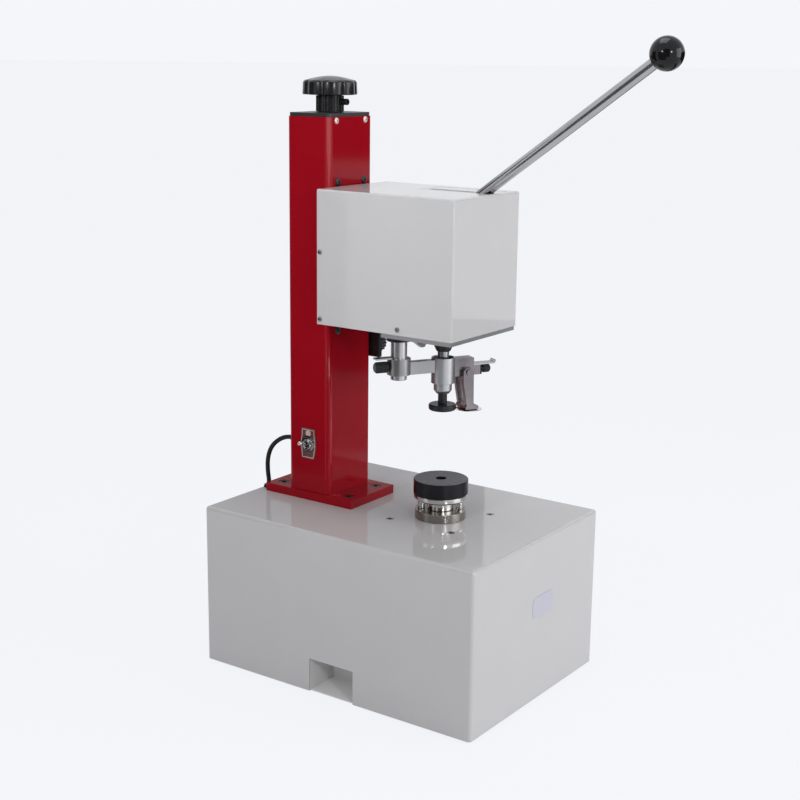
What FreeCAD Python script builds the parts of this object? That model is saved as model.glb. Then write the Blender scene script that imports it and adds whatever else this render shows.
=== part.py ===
import FreeCAD, Part
import math
import os
import Sketcher

# Bench vial crimping machine. Millimetres, +Z up, origin at the middle of the
# surface the machine stands on. The operator stands on the -Y side: the head
# and the turntable face -Y, the column is at the back, towards +Y.

doc = FreeCAD.newDocument("VialCrimper")
sheet = doc.addObject("Spreadsheet::Sheet", "Sizes")
X_AXIS = FreeCAD.Vector(1, 0, 0)
Y_AXIS = FreeCAD.Vector(0, 1, 0)
Z_AXIS = FreeCAD.Vector(0, 0, 1)
FULL_TURN = 360.0
nodes = {}


class Size:
    """A length or angle that carries its number and the expression that gives it."""

    def __init__(self, text, number):
        self.text = text
        self.number = number

    def __float__(self):
        return float(self.number)

    def join(self, other, sign, number):
        other = as_size(other)
        return Size("(%s %s %s)" % (self.text, sign, other.text), number(float(self), float(other)))

    def __add__(self, other):
        return self.join(other, "+", lambda a, b: a + b)

    def __sub__(self, other):
        return self.join(other, "-", lambda a, b: a - b)

    def __mul__(self, other):
        return self.join(other, "*", lambda a, b: a * b)

    def __truediv__(self, other):
        return self.join(other, "/", lambda a, b: a / b)

    def __radd__(self, other):
        return as_size(other) + self

    def __rsub__(self, other):
        return as_size(other) - self

    def __neg__(self):
        return Size("(0 - %s)" % self.text, -float(self))


def as_size(value):
    if isinstance(value, Size):
        return value
    return Size(repr(float(value)), float(value))


def driving(alias, number):
    """Writes one driving dimension into the sheet and returns it."""
    driving.row += 1
    cell = "B%d" % driving.row
    sheet.set("A%d" % driving.row, alias)
    sheet.set(cell, str(number))
    sheet.setAlias(cell, alias)
    sheet.recompute()
    return Size("Sizes." + alias, float(sheet.get(alias)))


driving.row = 0


def fill_sheet(names):
    """Writes each size named below into the sheet, and ties its name to its cell."""
    for alias, number in list(names.items()):
        if isinstance(number, (int, float)) and alias.islower():
            names[alias] = driving(alias, number)


# Base
base_width = 266.0
base_length = 368.0
base_top = 190.0
mat_thickness = 2.0
mat_inset = 24.0
mat_corner = 8.0
base_gauge = 2.0
base_bend = 4.0
bottom_gauge = 1.5
panel_gap = 0.5
pocket_width = 61.0
pocket_top = 41.0
pocket_depth = 46.0
pocket_gauge = 1.5
inlet_width = 27.0
inlet_height = 20.0
inlet_depth = 24.0
inlet_rim = 5.0
inlet_x = 70.0
inlet_z = 45.0

# Turntable and its drive
spindle_y = -54.0
pad_radius = 31.0
pad_height = 17.0
pad_recess_radius = 5.6
pad_recess_depth = 5.0
disc_height = 7.0
hub_radius = 15.0
hub_height = 11.5
flange_radius = 29.0
flange_height = 10.0
flange_screw_circle = 21.5
flange_screw_angle = -57.0
flange_screw_radius = 2.5
table_shaft_radius = 8.5
bearing_outer_radius = 17.5
bearing_width = 10.0
housing_wall = 6.0
housing_length = 58.0
housing_plate = 6.0
housing_screw_pitch = 82.0
sink_radius = 4.8
table_pulley_radius = 30.0
motor_pulley_radius = 12.0
pulley_width = 14.0
pulley_gap = 4.0
belt_thickness = 2.0
motor_offset = 124.0
motor_radius = 35.0
motor_length = 72.0
motor_shaft_radius = 4.0
motor_plate_size = 96.0
motor_plate_gauge = 4.0
motor_post_radius = 5.0
running_gap = 0.05
part_gap = 0.4

# Column
column_y = 105.0
column_width = 80.0
column_depth = 60.0
column_wall = 4.0
column_bend = 6.0
column_top = 632.0
foot_plate_width = 84.0
foot_plate_length = 127.0
foot_plate_height = 10.0
foot_bolt_span_x = 53.0
foot_bolt_span_y = 97.0
foot_bolt_radius = 4.0
slot_width = 28.0
head_travel = 45.0
cap_thickness = 4.0
cap_plug_depth = 12.0
cap_screw_span = 53.0
face_screw_span = 48.0
face_screw_high = 561.0
face_screw_low = 393.0
rail_width = 14.0
rail_thickness = 7.0
lead_radius = 8.0
collar_radius = 15.7
collar_height = 19.0
collar_flutes = 20
star_radius = 31.0
star_height = 15.6
star_dome = 5.0
star_lobes = 8
switch_z = 258.0
switch_plate_width = 23.0
switch_plate_height = 37.0
switch_bush_radius = 6.0
switch_nut_radius = 9.0
bat_length = 19.0
bat_tilt = 12.0
lead_diameter = 5.4
gland_x = -28.0
grommet_x = -28.0
grommet_setback = 7.5
grommet_wall = 2.2
grommet_lip = 1.8
grommet_height = 3.0
bat_ball_radius = 2.5
bat_ball_gap = 0.3
bat_pin_radius = 1.0
bat_pin_length = 8.0

# Head
head_width = 132.0
head_front = -107.0
head_rear = 71.5
head_bottom = 407.0
head_height = 149.4
cover_gauge = 1.5
cover_bend = 2.5
carriage_thickness = 8.0
floor_thickness = 5.0
floor_rear = -15.0
floor_lip = 16.0
nut_height = 50.0
bracket_gauge = 6.0
bracket_inside = 20.0
bracket_height = 128.0
cover_screw_y = -37.7
cover_screw_rise = 6.0
cover_screw_high = 80.5

# Lever, pinion and quill
lever_x = 20.0
lever_angle = 54.26
lever_reach = 338.3
lever_slot_low = 5.0
lever_slot_high = 50.0
lever_slot_setback = 6.0
pivot_z = 506.5
rod_radius = 6.3
ball_radius = 17.3
ball_seat = 10.0
lever_hub_radius = 16.0
lever_hub_width = 20.0
shaft_radius = 8.0
gear_module = 2.5
gear_teeth = 18
gear_width = 14.0
rack_teeth = 7
tooth_share = 0.47
quill_radius = 14.0
quill_bottom = 411.0
quill_length = 115.0
neck_radius = 6.4
guide_block_height = 66.0
guide_wall = 5.5
nose_length = 19.0
nose_radius = 9.0
seal_radius = 11.1
seal_height = 8.0

# Crimping unit
arm_angle = -30.0
cylinder_radius = 13.2
cylinder_top = 375.0
cylinder_height = 29.0
cylinder_wall = 1.5
cylinder_floor = 14.0
stem_flange = 2.0
neck_engagement = 5.0
collar_nut_radius = 10.2
collar_nut_height = 12.0
stem_radius = 5.1
stem_length = 11.5
stem_pin_radius = 3.0
stem_pin_length = 5.0
spring_bore = 4.3
press_spring_length = 36.0
press_disc_radius = 15.5
press_disc_height = 7.2
bar_height = 14.0
bar_thickness = 10.0
bar_bottom = 359.0
post_reach = 54.0
post_radius = 9.0
post_bottom = 354.0
post_length = 74.0
boss_wall = 4.0
boss_height = 18.0
post_bush_height = 4.5
post_bush_wall = 5.0
thumb_radius = 6.3
thumb_length = 16.0
thumb_shank = 3.0
block_reach = 35.0
block_width = 14.0
block_bottom = 353.0
block_height = 20.0
tail_reach = 48.0
tail_height = 11.0
stud_knob_radius = 5.0
stud_knob_length = 10.0
strip_gauge = 1.6
pivot_reach = 26.0
fork_pivot_z = 358.0
pivot_pin_radius = 3.0
finger_thickness = 5.0
finger_top_width = 13.0
finger_foot_width = 8.0
fork_foot_z = 315.0
fork_foot_height = 4.0
wheel_reach = 33.0
wheel_radius = 15.0
wheel_thickness = 2.0
wheel_hub_radius = 4.5
axle_radius = 2.5
wheel_gap = 0.5
web_gauge = 4.0
web_drop = 22.0

# Head lock at the right of the column
lock_z = 366.0
lock_setback = 8.5
lock_plate_gauge = 4.0
lock_leg = 23.5
lock_width = 27.0
lock_knob_radius = 11.4
lock_knob_length = 14.0
lock_standoff = 8.0
lock_screw_radius = 4.0

fill_sheet(globals())


def keep(node, item):
    """Names a finished sub-part, so that it is checked and written out."""
    item.Label = node
    nodes[node] = item
    return item


def bind(item, **expressions):
    for name, value in expressions.items():
        item.setExpression(name, as_size(value).text)


def place(item, x=0.0, y=0.0, z=0.0, turn=None, axis=Z_AXIS):
    """Puts an object at x, y, z, turned about an axis through that point."""
    angle = as_size(0.0 if turn is None else turn)
    spot = FreeCAD.Vector(float(as_size(x)), float(as_size(y)), float(as_size(z)))
    item.Placement = FreeCAD.Placement(spot, FreeCAD.Rotation(axis, float(angle)))
    item.setExpression("Placement.Base.x", as_size(x).text)
    item.setExpression("Placement.Base.y", as_size(y).text)
    item.setExpression("Placement.Base.z", as_size(z).text)
    if isinstance(turn, Size):
        item.setExpression("Placement.Rotation.Angle", turn.text)
    return item


def box(x_low, x_high, y_low, y_high, z_low, z_high):
    """A block between two corners, all its sizes bound to the sheet."""
    item = doc.addObject("Part::Box", "Block")
    bind(item, Length=as_size(x_high) - x_low, Width=as_size(y_high) - y_low, Height=as_size(z_high) - z_low)
    return place(item, x_low, y_low, z_low)


def cylinder(radius, length, x=0.0, y=0.0, z=0.0, along="Z"):
    """A cylinder that starts at x, y, z and runs along +Z, +X or +Y."""
    item = doc.addObject("Part::Cylinder", "Round")
    bind(item, Radius=radius, Height=length)
    quarter = {"Z": (None, Z_AXIS), "X": (90.0, Y_AXIS), "Y": (-90.0, X_AXIS)}[along]
    return place(item, x, y, z, quarter[0], quarter[1])


def fuse(*items):
    item = doc.addObject("Part::MultiFuse", "Joined")
    item.Shapes = list(items)
    return item


def cut(base, *tools):
    """Takes the tools away from the base."""
    item = doc.addObject("Part::Cut", "Cleared")
    item.Base = base
    item.Tool = tools[0] if len(tools) == 1 else fuse(*tools)
    return item


def group(items):
    """Several separate solids as one named sub-part."""
    item = doc.addObject("Part::Compound", "Group")
    item.Links = list(items)
    doc.recompute()
    return item


def solid(shape, x=0.0, y=0.0, z=0.0, turn=0.0):
    """A sub-part shaped by Part's own functions, placed after its shape is set."""
    item = doc.addObject("Part::Feature", "Shaped")
    item.Shape = shape
    spot = FreeCAD.Vector(float(as_size(x)), float(as_size(y)), float(as_size(z)))
    item.Placement = FreeCAD.Placement(spot, FreeCAD.Rotation(Z_AXIS, float(as_size(turn))))
    return item


def new_body(name, x=0.0, y=0.0, z=0.0, turn=None, axis=Z_AXIS):
    body = doc.addObject("PartDesign::Body", name)
    place(body, x, y, z, turn, axis)
    return body


def sketch_on(body, role, offset=None):
    """A sketch on one of the body's own origin planes, lifted by an offset."""
    plane = [item for item in body.Origin.OriginFeatures if item.Role == role][0]
    sketch = body.newObject("Sketcher::SketchObject", "Profile")
    sketch.AttachmentSupport = [(plane, "")]
    sketch.MapMode = "FlatFace"
    if offset is not None:
        sketch.setExpression("AttachmentOffset.Base.z", as_size(offset).text)
    return sketch


def pin_point(sketch, edge, end, x, y):
    """Ties one end of an edge to a place measured from the sketch's origin."""
    for kind, value, axis in (("DistanceX", as_size(x), -2), ("DistanceY", as_size(y), -1)):
        if value.text == "0.0":
            sketch.addConstraint(Sketcher.Constraint("PointOnObject", edge, end, axis))
        else:
            index = sketch.addConstraint(Sketcher.Constraint(kind, -1, 1, edge, end, float(value)))
            sketch.setExpression("Constraints[%d]" % index, value.text)


def outline(sketch, points):
    """A closed outline of straight edges through the points."""
    count = len(points)
    spots = [FreeCAD.Vector(float(as_size(x)), float(as_size(y)), 0) for x, y in points]
    first = sketch.GeometryCount
    for step in range(count):
        sketch.addGeometry(Part.LineSegment(spots[step], spots[(step + 1) % count]), False)
    for step in range(count):
        following = first + (step + 1) % count
        sketch.addConstraint(Sketcher.Constraint("Coincident", first + step, 2, following, 1))
    for step, (x, y) in enumerate(points):
        pin_point(sketch, first + step, 1, x, y)


def rectangle(sketch, x_low, x_high, y_low, y_high):
    outline(sketch, [(x_low, y_low), (x_high, y_low), (x_high, y_high), (x_low, y_high)])


def circle(sketch, x, y, radius):
    spot = FreeCAD.Vector(float(as_size(x)), float(as_size(y)), 0)
    edge = sketch.addGeometry(Part.Circle(spot, Z_AXIS, float(as_size(radius))), False)
    pin_point(sketch, edge, 3, x, y)
    index = sketch.addConstraint(Sketcher.Constraint("Radius", edge, float(as_size(radius))))
    sketch.setExpression("Constraints[%d]" % index, as_size(radius).text)


def pad(body, sketch, length, reverse=False):
    feature = body.newObject("PartDesign::Pad", "Pad")
    feature.Profile = sketch
    feature.Reversed = reverse
    bind(feature, Length=length)
    doc.recompute()
    return feature


def pocket(body, sketch, length, reverse=False):
    """Cuts a pocket and makes sure that it took material away."""
    doc.recompute()
    before = body.Shape.Volume
    feature = body.newObject("PartDesign::Pocket", "Pocket")
    feature.Profile = sketch
    feature.Reversed = reverse
    bind(feature, Length=length)
    doc.recompute()
    if body.Shape.Volume >= before:
        raise RuntimeError("A pocket in %s cut nothing" % body.Name)
    return feature


def edges_named(shape, test):
    return ["Edge%d" % (index + 1) for index, edge in enumerate(shape.Edges) if test(edge)]


def is_upright(edge):
    """True for a straight edge that runs along Z."""
    if len(edge.Vertexes) != 2:
        return False
    run = edge.Vertexes[1].Point - edge.Vertexes[0].Point
    return run.Length > 0 and abs(abs(run.z) - run.Length) < 1e-6


def round_edges(body, feature, test, radius):
    """Rounds the edges of a feature that pass the test."""
    item = body.newObject("PartDesign::Fillet", "Round")
    item.Base = (feature, edges_named(feature.Shape, test))
    bind(item, Radius=radius)
    doc.recompute()
    return item


def turned(name, points, x=0.0, y=0.0, z=0.0, turn=None, axis=Z_AXIS):
    """A turned piece: an outline of (radius, height) points spun about its own Z axis."""
    body = new_body(name, x, y, z, turn, axis)
    sketch = sketch_on(body, "XZ_Plane")
    outline(sketch, points)
    spin = body.newObject("PartDesign::Revolution", "Spin")
    spin.Profile = sketch
    spin.ReferenceAxis = (sketch, ["V_Axis"])
    spin.Angle = FULL_TURN
    return keep(name, body)


def turned_shape(points):
    """A turned solid from (radius, height) numbers, for pieces repeated by a loop."""
    spots = [FreeCAD.Vector(radius, 0, height) for radius, height in points]
    face = Part.Face(Part.makePolygon(spots + [spots[0]]))
    return face.revolve(FreeCAD.Vector(0, 0, 0), Z_AXIS, FULL_TURN)


def socket_screw(head_radius, head_height, shank_radius, shank_length):
    """A socket screw with its seat at height 0, head up, and a hexagon socket."""
    socket_depth = head_height * 0.6
    points = [(0, -shank_length), (shank_radius, -shank_length), (shank_radius, 0), (head_radius, 0)]
    points += [(head_radius, head_height * 0.85), (head_radius * 0.88, head_height), (0, head_height)]
    hexagon = Part.makePolygon([hexagon_point(head_radius * 0.55, step, head_height) for step in range(7)])
    socket = Part.Face(hexagon).extrude(FreeCAD.Vector(0, 0, -socket_depth))
    return turned_shape(points).cut(socket)


def hexagon_point(radius, step, height):
    angle = math.radians(60.0 * step)
    return FreeCAD.Vector(radius * math.cos(angle), radius * math.sin(angle), height)


def countersunk_screw(head_radius, head_height, shank_radius, shank_length):
    """A countersunk screw whose head is flush with height 0."""
    socket_radius = head_radius * 0.4
    socket_depth = head_height * 0.7
    points = [(0, -shank_length), (shank_radius, -shank_length), (shank_radius, -head_height)]
    points += [(head_radius, 0), (socket_radius, 0), (socket_radius, -socket_depth), (0, -socket_depth)]
    return turned_shape(points)


def aimed(shape, direction, x, y, z):
    """A copy of a shape whose own +Z points along a direction, moved to a place."""
    copy = shape.copy()
    rotation = FreeCAD.Rotation(Z_AXIS, direction)
    copy.Placement = FreeCAD.Placement(FreeCAD.Vector(float(x), float(y), float(z)), rotation)
    return copy


def screw_group(node, shapes):
    return keep(node, solid(Part.makeCompound(shapes)))


def coil(radius, wire, length, turns):
    """A compression or tension spring wound about its own Z axis, from height 0 up."""
    pitch = length / turns
    path = Part.makeHelix(pitch, length, radius)
    start = FreeCAD.Vector(radius, 0, 0)
    ring = Part.Wire(Part.makeCircle(wire, start, FreeCAD.Vector(0, 1, pitch / (2 * math.pi * radius))))
    return Part.Wire(path.Edges).makePipeShell([ring], True, False)


# Places that several pieces share
half_base = base_width / 2
half_length = base_length / 2
skin_inside = base_top - base_gauge
bottom_top = mat_thickness + bottom_gauge
flange_top = base_top + flange_height
hub_bottom = flange_top + part_gap
hub_top = flange_top + hub_height
disc_top = hub_top + disc_height
pad_top = disc_top + pad_height
housing_bottom = skin_inside - housing_length
pulley_top = housing_bottom - pulley_gap
pulley_bottom = pulley_top - pulley_width
motor_plate_top = pulley_bottom - pulley_gap * 2
motor_plate_bottom = motor_plate_top - motor_plate_gauge
motor_y = spindle_y + motor_offset
half_column = column_width / 2
column_front = column_y - column_depth / 2
column_back = column_y + column_depth / 2
wall_inside = column_front + column_wall
foot_plate_top = base_top + foot_plate_height
cap_top = column_top + cap_thickness
collar_top = cap_top + collar_height
knob_bottom = collar_top + part_gap
half_head = head_width / 2
head_top = head_bottom + head_height
cover_inside = half_head - cover_gauge
floor_bottom = head_bottom - floor_thickness
carriage_front = head_rear - carriage_thickness
nut_bottom = head_bottom + head_height / 2 - nut_height / 2
nut_top = nut_bottom + nut_height
nut_half = slot_width / 2 - part_gap / 2
gear_pitch_radius = gear_module * gear_teeth / 2
rack_line = quill_radius - gear_module
pivot_y = spindle_y + rack_line + gear_pitch_radius
cylinder_bottom = cylinder_top - cylinder_height
collar_nut_bottom = cylinder_bottom - collar_nut_height
stem_cavity_top = cylinder_bottom + cylinder_floor - neck_engagement
stem_bottom = collar_nut_bottom - stem_length
press_disc_bottom = stem_bottom - press_disc_height
boss_radius = post_radius + boss_wall
right_bracket = lever_x + lever_hub_width / 2 + 2.0
switch_x = -half_column
grommet_y = column_y + foot_plate_length / 2 + grommet_setback
grommet_radius = lead_diameter / 2 + grommet_wall


def build_base():
    """The sheet-metal base: shell, pocket liner, bottom panel, rubber mat and mains inlet."""
    body = new_body("BaseHousing", z=mat_thickness)
    sketch = sketch_on(body, "XY_Plane")
    rectangle(sketch, -half_base, half_base, -half_length, half_length)
    block = pad(body, sketch, base_top - mat_thickness)
    corners = round_edges(body, block, is_upright, base_bend)
    rim_height = float(base_top) - float(mat_thickness)
    rim = round_edges(body, corners, lambda edge: edge.BoundBox.ZMin > rim_height - 1e-4, base_bend)
    shell = body.newObject("PartDesign::Thickness", "Shell")
    under = [i for i, face in enumerate(rim.Shape.Faces) if face.BoundBox.ZMax < 1e-4 and face.BoundBox.ZMin > -1e-4]
    shell.Base = (rim, ["Face%d" % (under[0] + 1)])
    shell.Reversed = True
    shell.Join = 0
    bind(shell, Value=base_gauge)
    doc.recompute()
    holes = sketch_on(body, "XY_Plane", base_top - mat_thickness)
    circle(holes, 0.0, spindle_y, table_shaft_radius + housing_wall)
    for side in (-1, 1):
        for end in (-1, 1):
            reach = housing_screw_pitch / 2
            circle(holes, reach * side, spindle_y + reach * end, 2.6)
            circle(holes, foot_bolt_span_x / 2 * side, column_y + foot_bolt_span_y / 2 * end, foot_bolt_radius + 0.2)
        flange_x, flange_y = flange_screw_place(side)
        circle(holes, flange_x, flange_y, flange_screw_radius + 0.1)
    circle(holes, 0.0, column_y, 14.0)
    circle(holes, grommet_x, grommet_y, grommet_radius)
    pocket(body, holes, base_gauge * 2)
    opening = sketch_on(body, "YZ_Plane", -half_base)
    rectangle(opening, -pocket_width / 2, pocket_width / 2, -1.0, pocket_top - mat_thickness)
    pocket(body, opening, base_gauge * 2, True)
    socket = sketch_on(body, "XZ_Plane", -half_length)
    rectangle(socket, inlet_x - inlet_width / 2, inlet_x + inlet_width / 2,
              inlet_z - mat_thickness - inlet_height / 2, inlet_z - mat_thickness + inlet_height / 2)
    pocket(body, socket, base_gauge * 2, True)
    cones = []
    for side in (-1, 1):
        for end in (-1, 1):
            cone = doc.addObject("Part::Cone", "Countersink")
            bind(cone, Radius1=sink_radius / 2 + 0.1, Radius2=sink_radius + 0.1, Height=base_gauge)
            cones.append(place(cone, housing_screw_pitch / 2 * side, spindle_y + housing_screw_pitch / 2 * end,
                               skin_inside))
    keep("base_housing", cut(body, *cones))

    liner_x = -half_base + base_gauge
    liner_back = -half_base + pocket_depth
    half = pocket_width / 2
    outer = box(liner_x, liner_back, -half - pocket_gauge, half + pocket_gauge, bottom_top, pocket_top + pocket_gauge)
    inner = box(liner_x - 1.0, liner_back - pocket_gauge, -half, half, bottom_top - 1.0, pocket_top)
    liner = cut(outer, inner)

    panel_x = half_base - base_gauge - panel_gap
    panel_y = half_length - base_gauge - panel_gap
    panel = new_body("BottomPanel", z=mat_thickness)
    sketch = sketch_on(panel, "XY_Plane")
    rectangle(sketch, -panel_x, panel_x, -panel_y, panel_y)
    sheet_pad = pad(panel, sketch, bottom_gauge)
    round_edges(panel, sheet_pad, is_upright, base_gauge)
    keep("bottom_panel", fuse(panel, liner))

    mat_x = half_base - mat_inset
    mat_y = half_length - mat_inset
    mat = new_body("RubberMat")
    sketch = sketch_on(mat, "XY_Plane")
    rectangle(sketch, -mat_x, mat_x, -mat_y, mat_y)
    mat_pad = pad(mat, sketch, mat_thickness)
    round_edges(mat, mat_pad, is_upright, mat_corner)
    keep("rubber_mat", mat)

    half_w = inlet_width / 2
    half_h = inlet_height / 2
    rear = half_length
    rim_plate = box(inlet_x - half_w - inlet_rim, inlet_x + half_w + inlet_rim, rear, rear + 2.5,
                    inlet_z - half_h - inlet_rim, inlet_z + half_h + inlet_rim)
    shell_box = box(inlet_x - half_w + part_gap, inlet_x + half_w - part_gap, rear - inlet_depth, rear,
                    inlet_z - half_h + part_gap, inlet_z + half_h - part_gap)
    well = box(inlet_x - half_w + 3.0, inlet_x + half_w - 3.0, rear - inlet_depth + 5.0, rear + 3.0,
               inlet_z - half_h + 3.0, inlet_z + half_h - 3.0)
    pins = [box(inlet_x + shift - 1.0, inlet_x + shift + 1.0, rear - inlet_depth + 5.0, rear - 4.0,
                inlet_z - 2.0, inlet_z + 2.0) for shift in (-7.0, 0.0, 7.0)]
    keep("mains_inlet", fuse(cut(fuse(rim_plate, shell_box), well), *pins))


def flange_screw_place(side):
    """The place of one of the two screws of the turntable's flange, as sizes."""
    turn = math.radians(float(flange_screw_angle))
    cosine = Size("cos(%s * 1 deg)" % flange_screw_angle.text, math.cos(turn))
    sine = Size("sin(%s * 1 deg)" % flange_screw_angle.text, math.sin(turn))
    return flange_screw_circle * cosine * side, spindle_y + flange_screw_circle * sine * side


def build_turntable():
    """Bearing housing, shaft, hub, chrome disc, pad, pulleys, belt and motor."""
    bore = table_shaft_radius + running_gap
    turned("table_flange", [(table_shaft_radius + 2.0, 0.0), (flange_radius, 0.0),
                            (flange_radius, flange_height - 1.0), (flange_radius - 1.0, flange_height),
                            (table_shaft_radius + 2.0, flange_height)], 0.0, spindle_y, base_top)
    screw = socket_screw(4.25, 6.0, float(flange_screw_radius), 14.0)
    screw_group("table_flange_screws", [
        aimed(screw, Z_AXIS, *flange_screw_place(side), flange_top) for side in (-1, 1)])
    flange = nodes["table_flange"]
    drill = sketch_on(flange, "XY_Plane", flange_height)
    for side in (-1, 1):
        hole_x, hole_y = flange_screw_place(side)
        circle(drill, hole_x, hole_y - spindle_y, flange_screw_radius + 0.1)
    pocket(flange, drill, flange_height)

    outer = bearing_outer_radius + housing_wall
    half_plate = housing_screw_pitch / 2 + 9.0
    plate = box(-half_plate, half_plate, spindle_y - half_plate, spindle_y + half_plate,
                skin_inside - housing_plate, skin_inside)
    barrel = cylinder(outer, housing_length, 0.0, spindle_y, housing_bottom)
    upper = cylinder(bearing_outer_radius, bearing_width + 2.0, 0.0, spindle_y, skin_inside - bearing_width - 2.0)
    lower = cylinder(bearing_outer_radius, bearing_width + 2.0, 0.0, spindle_y, housing_bottom)
    through = cylinder(table_shaft_radius + 4.0, housing_length, 0.0, spindle_y, housing_bottom)
    reach = housing_screw_pitch / 2
    taps = [cylinder(2.5, housing_plate, reach * side, spindle_y + reach * end, skin_inside - housing_plate)
            for side in (-1, 1) for end in (-1, 1)]
    for side in (-1, 1):
        tap_x, tap_y = flange_screw_place(side)
        taps.append(cylinder(flange_screw_radius, 12.0, tap_x, tap_y, skin_inside - 12.0))
    housing = cut(fuse(plate, barrel), upper, lower, through, *taps)
    races = []
    for low in (housing_bottom + 2.0, skin_inside - bearing_width - 2.0):
        race = cylinder(bearing_outer_radius, bearing_width, 0.0, spindle_y, low)
        races.append(cut(race, cylinder(bore, bearing_width, 0.0, spindle_y, low)))
    keep("bearing_housing", fuse(housing, *races))

    flat_screw = countersunk_screw(float(sink_radius), float(base_gauge), float(sink_radius) / 2, 10.0)
    screw_group("housing_screws", [aimed(flat_screw, Z_AXIS, float(reach) * side, float(spindle_y) + float(reach) * end,
                                         base_top) for side in (-1, 1) for end in (-1, 1)])

    pulley_shaft("table_shaft", table_pulley_radius, table_shaft_radius, spindle_y, pulley_bottom - 2.0, hub_top)
    turned("table_disc", [(table_shaft_radius, hub_bottom), (hub_radius, hub_bottom), (hub_radius, hub_top),
                          (pad_radius - 0.8, hub_top), (pad_radius, hub_top + 0.8),
                          (pad_radius, disc_top - 0.8), (pad_radius - 0.8, disc_top),
                          (table_shaft_radius - 4.0, disc_top), (table_shaft_radius - 4.0, hub_top),
                          (table_shaft_radius, hub_top)], 0.0, spindle_y, 0.0)
    turned("table_pad", [(0.0, disc_top), (pad_radius, disc_top), (pad_radius, pad_top - 1.0),
                         (pad_radius - 1.0, pad_top), (pad_recess_radius, pad_top),
                         (pad_recess_radius, pad_top - pad_recess_depth), (0.0, pad_top - pad_recess_depth)],
           0.0, spindle_y, 0.0)
    pulley_shaft("motor_pulley", motor_pulley_radius, motor_shaft_radius, motor_y,
                 motor_plate_bottom + 0.5, pulley_top + 1.0)
    keep("drive_belt", solid(belt_shape()))
    motor = cylinder(motor_radius, motor_length, 0.0, motor_y, motor_plate_bottom - motor_length)
    half_plate = motor_plate_size / 2
    post = half_plate - motor_post_radius * 2
    deck = box(-half_plate, half_plate, motor_y - half_plate, motor_y + half_plate,
               motor_plate_bottom, motor_plate_top)
    posts = [cylinder(motor_post_radius, skin_inside - motor_plate_top, post * side, motor_y + post * end,
                      motor_plate_top) for side in (-1, 1) for end in (-1, 1)]
    shaft_hole = cylinder(motor_shaft_radius + 3.0, motor_plate_gauge, 0.0, motor_y, motor_plate_bottom)
    keep("drive_motor", cut(fuse(deck, motor, *posts), shaft_hole))


def pulley_shaft(node, radius, shaft, y, low, high):
    """A shaft that carries a flat-belt pulley with two rims."""
    rim = radius + belt_thickness
    turned(node, [(0.0, low), (shaft, low), (shaft, pulley_bottom), (rim, pulley_bottom),
                  (rim, pulley_bottom + 1.5), (radius, pulley_bottom + 1.5), (radius, pulley_top - 1.5),
                  (rim, pulley_top - 1.5), (rim, pulley_top), (shaft, pulley_top), (shaft, high), (0.0, high)],
           0.0, y, 0.0)


def belt_shape():
    """The flat belt round both pulleys, its runs tangent to them."""
    gap = 0.15
    large = float(table_pulley_radius) + gap
    small = float(motor_pulley_radius) + gap
    thick = float(belt_thickness)
    low = float(pulley_bottom) + 1.5 + gap
    height = float(pulley_width) - 3.0 - 2 * gap
    outer = belt_loop(large + thick, small + thick)
    inner = belt_loop(large, small)
    band = Part.Face(outer).cut(Part.Face(inner))
    band.translate(FreeCAD.Vector(0, 0, low))
    return band.extrude(FreeCAD.Vector(0, 0, height))


def belt_loop(large, small):
    """A closed wire round two circles of the pulleys' centres."""
    span = float(motor_offset)
    tilt = math.acos((large - small) / span)
    near = float(spindle_y)
    far = float(motor_y)

    def spot(radius, centre, angle):
        return FreeCAD.Vector(radius * math.sin(angle), centre + radius * math.cos(angle), 0)

    lower = Part.Arc(spot(large, near, tilt), spot(large, near, math.pi), spot(large, near, -tilt))
    upper = Part.Arc(spot(small, far, -tilt), spot(small, far, 0), spot(small, far, tilt))
    left = Part.LineSegment(spot(large, near, -tilt), spot(small, far, -tilt))
    right = Part.LineSegment(spot(small, far, tilt), spot(large, near, tilt))
    return Part.Wire([lower.toShape(), left.toShape(), upper.toShape(), right.toShape()])


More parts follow.
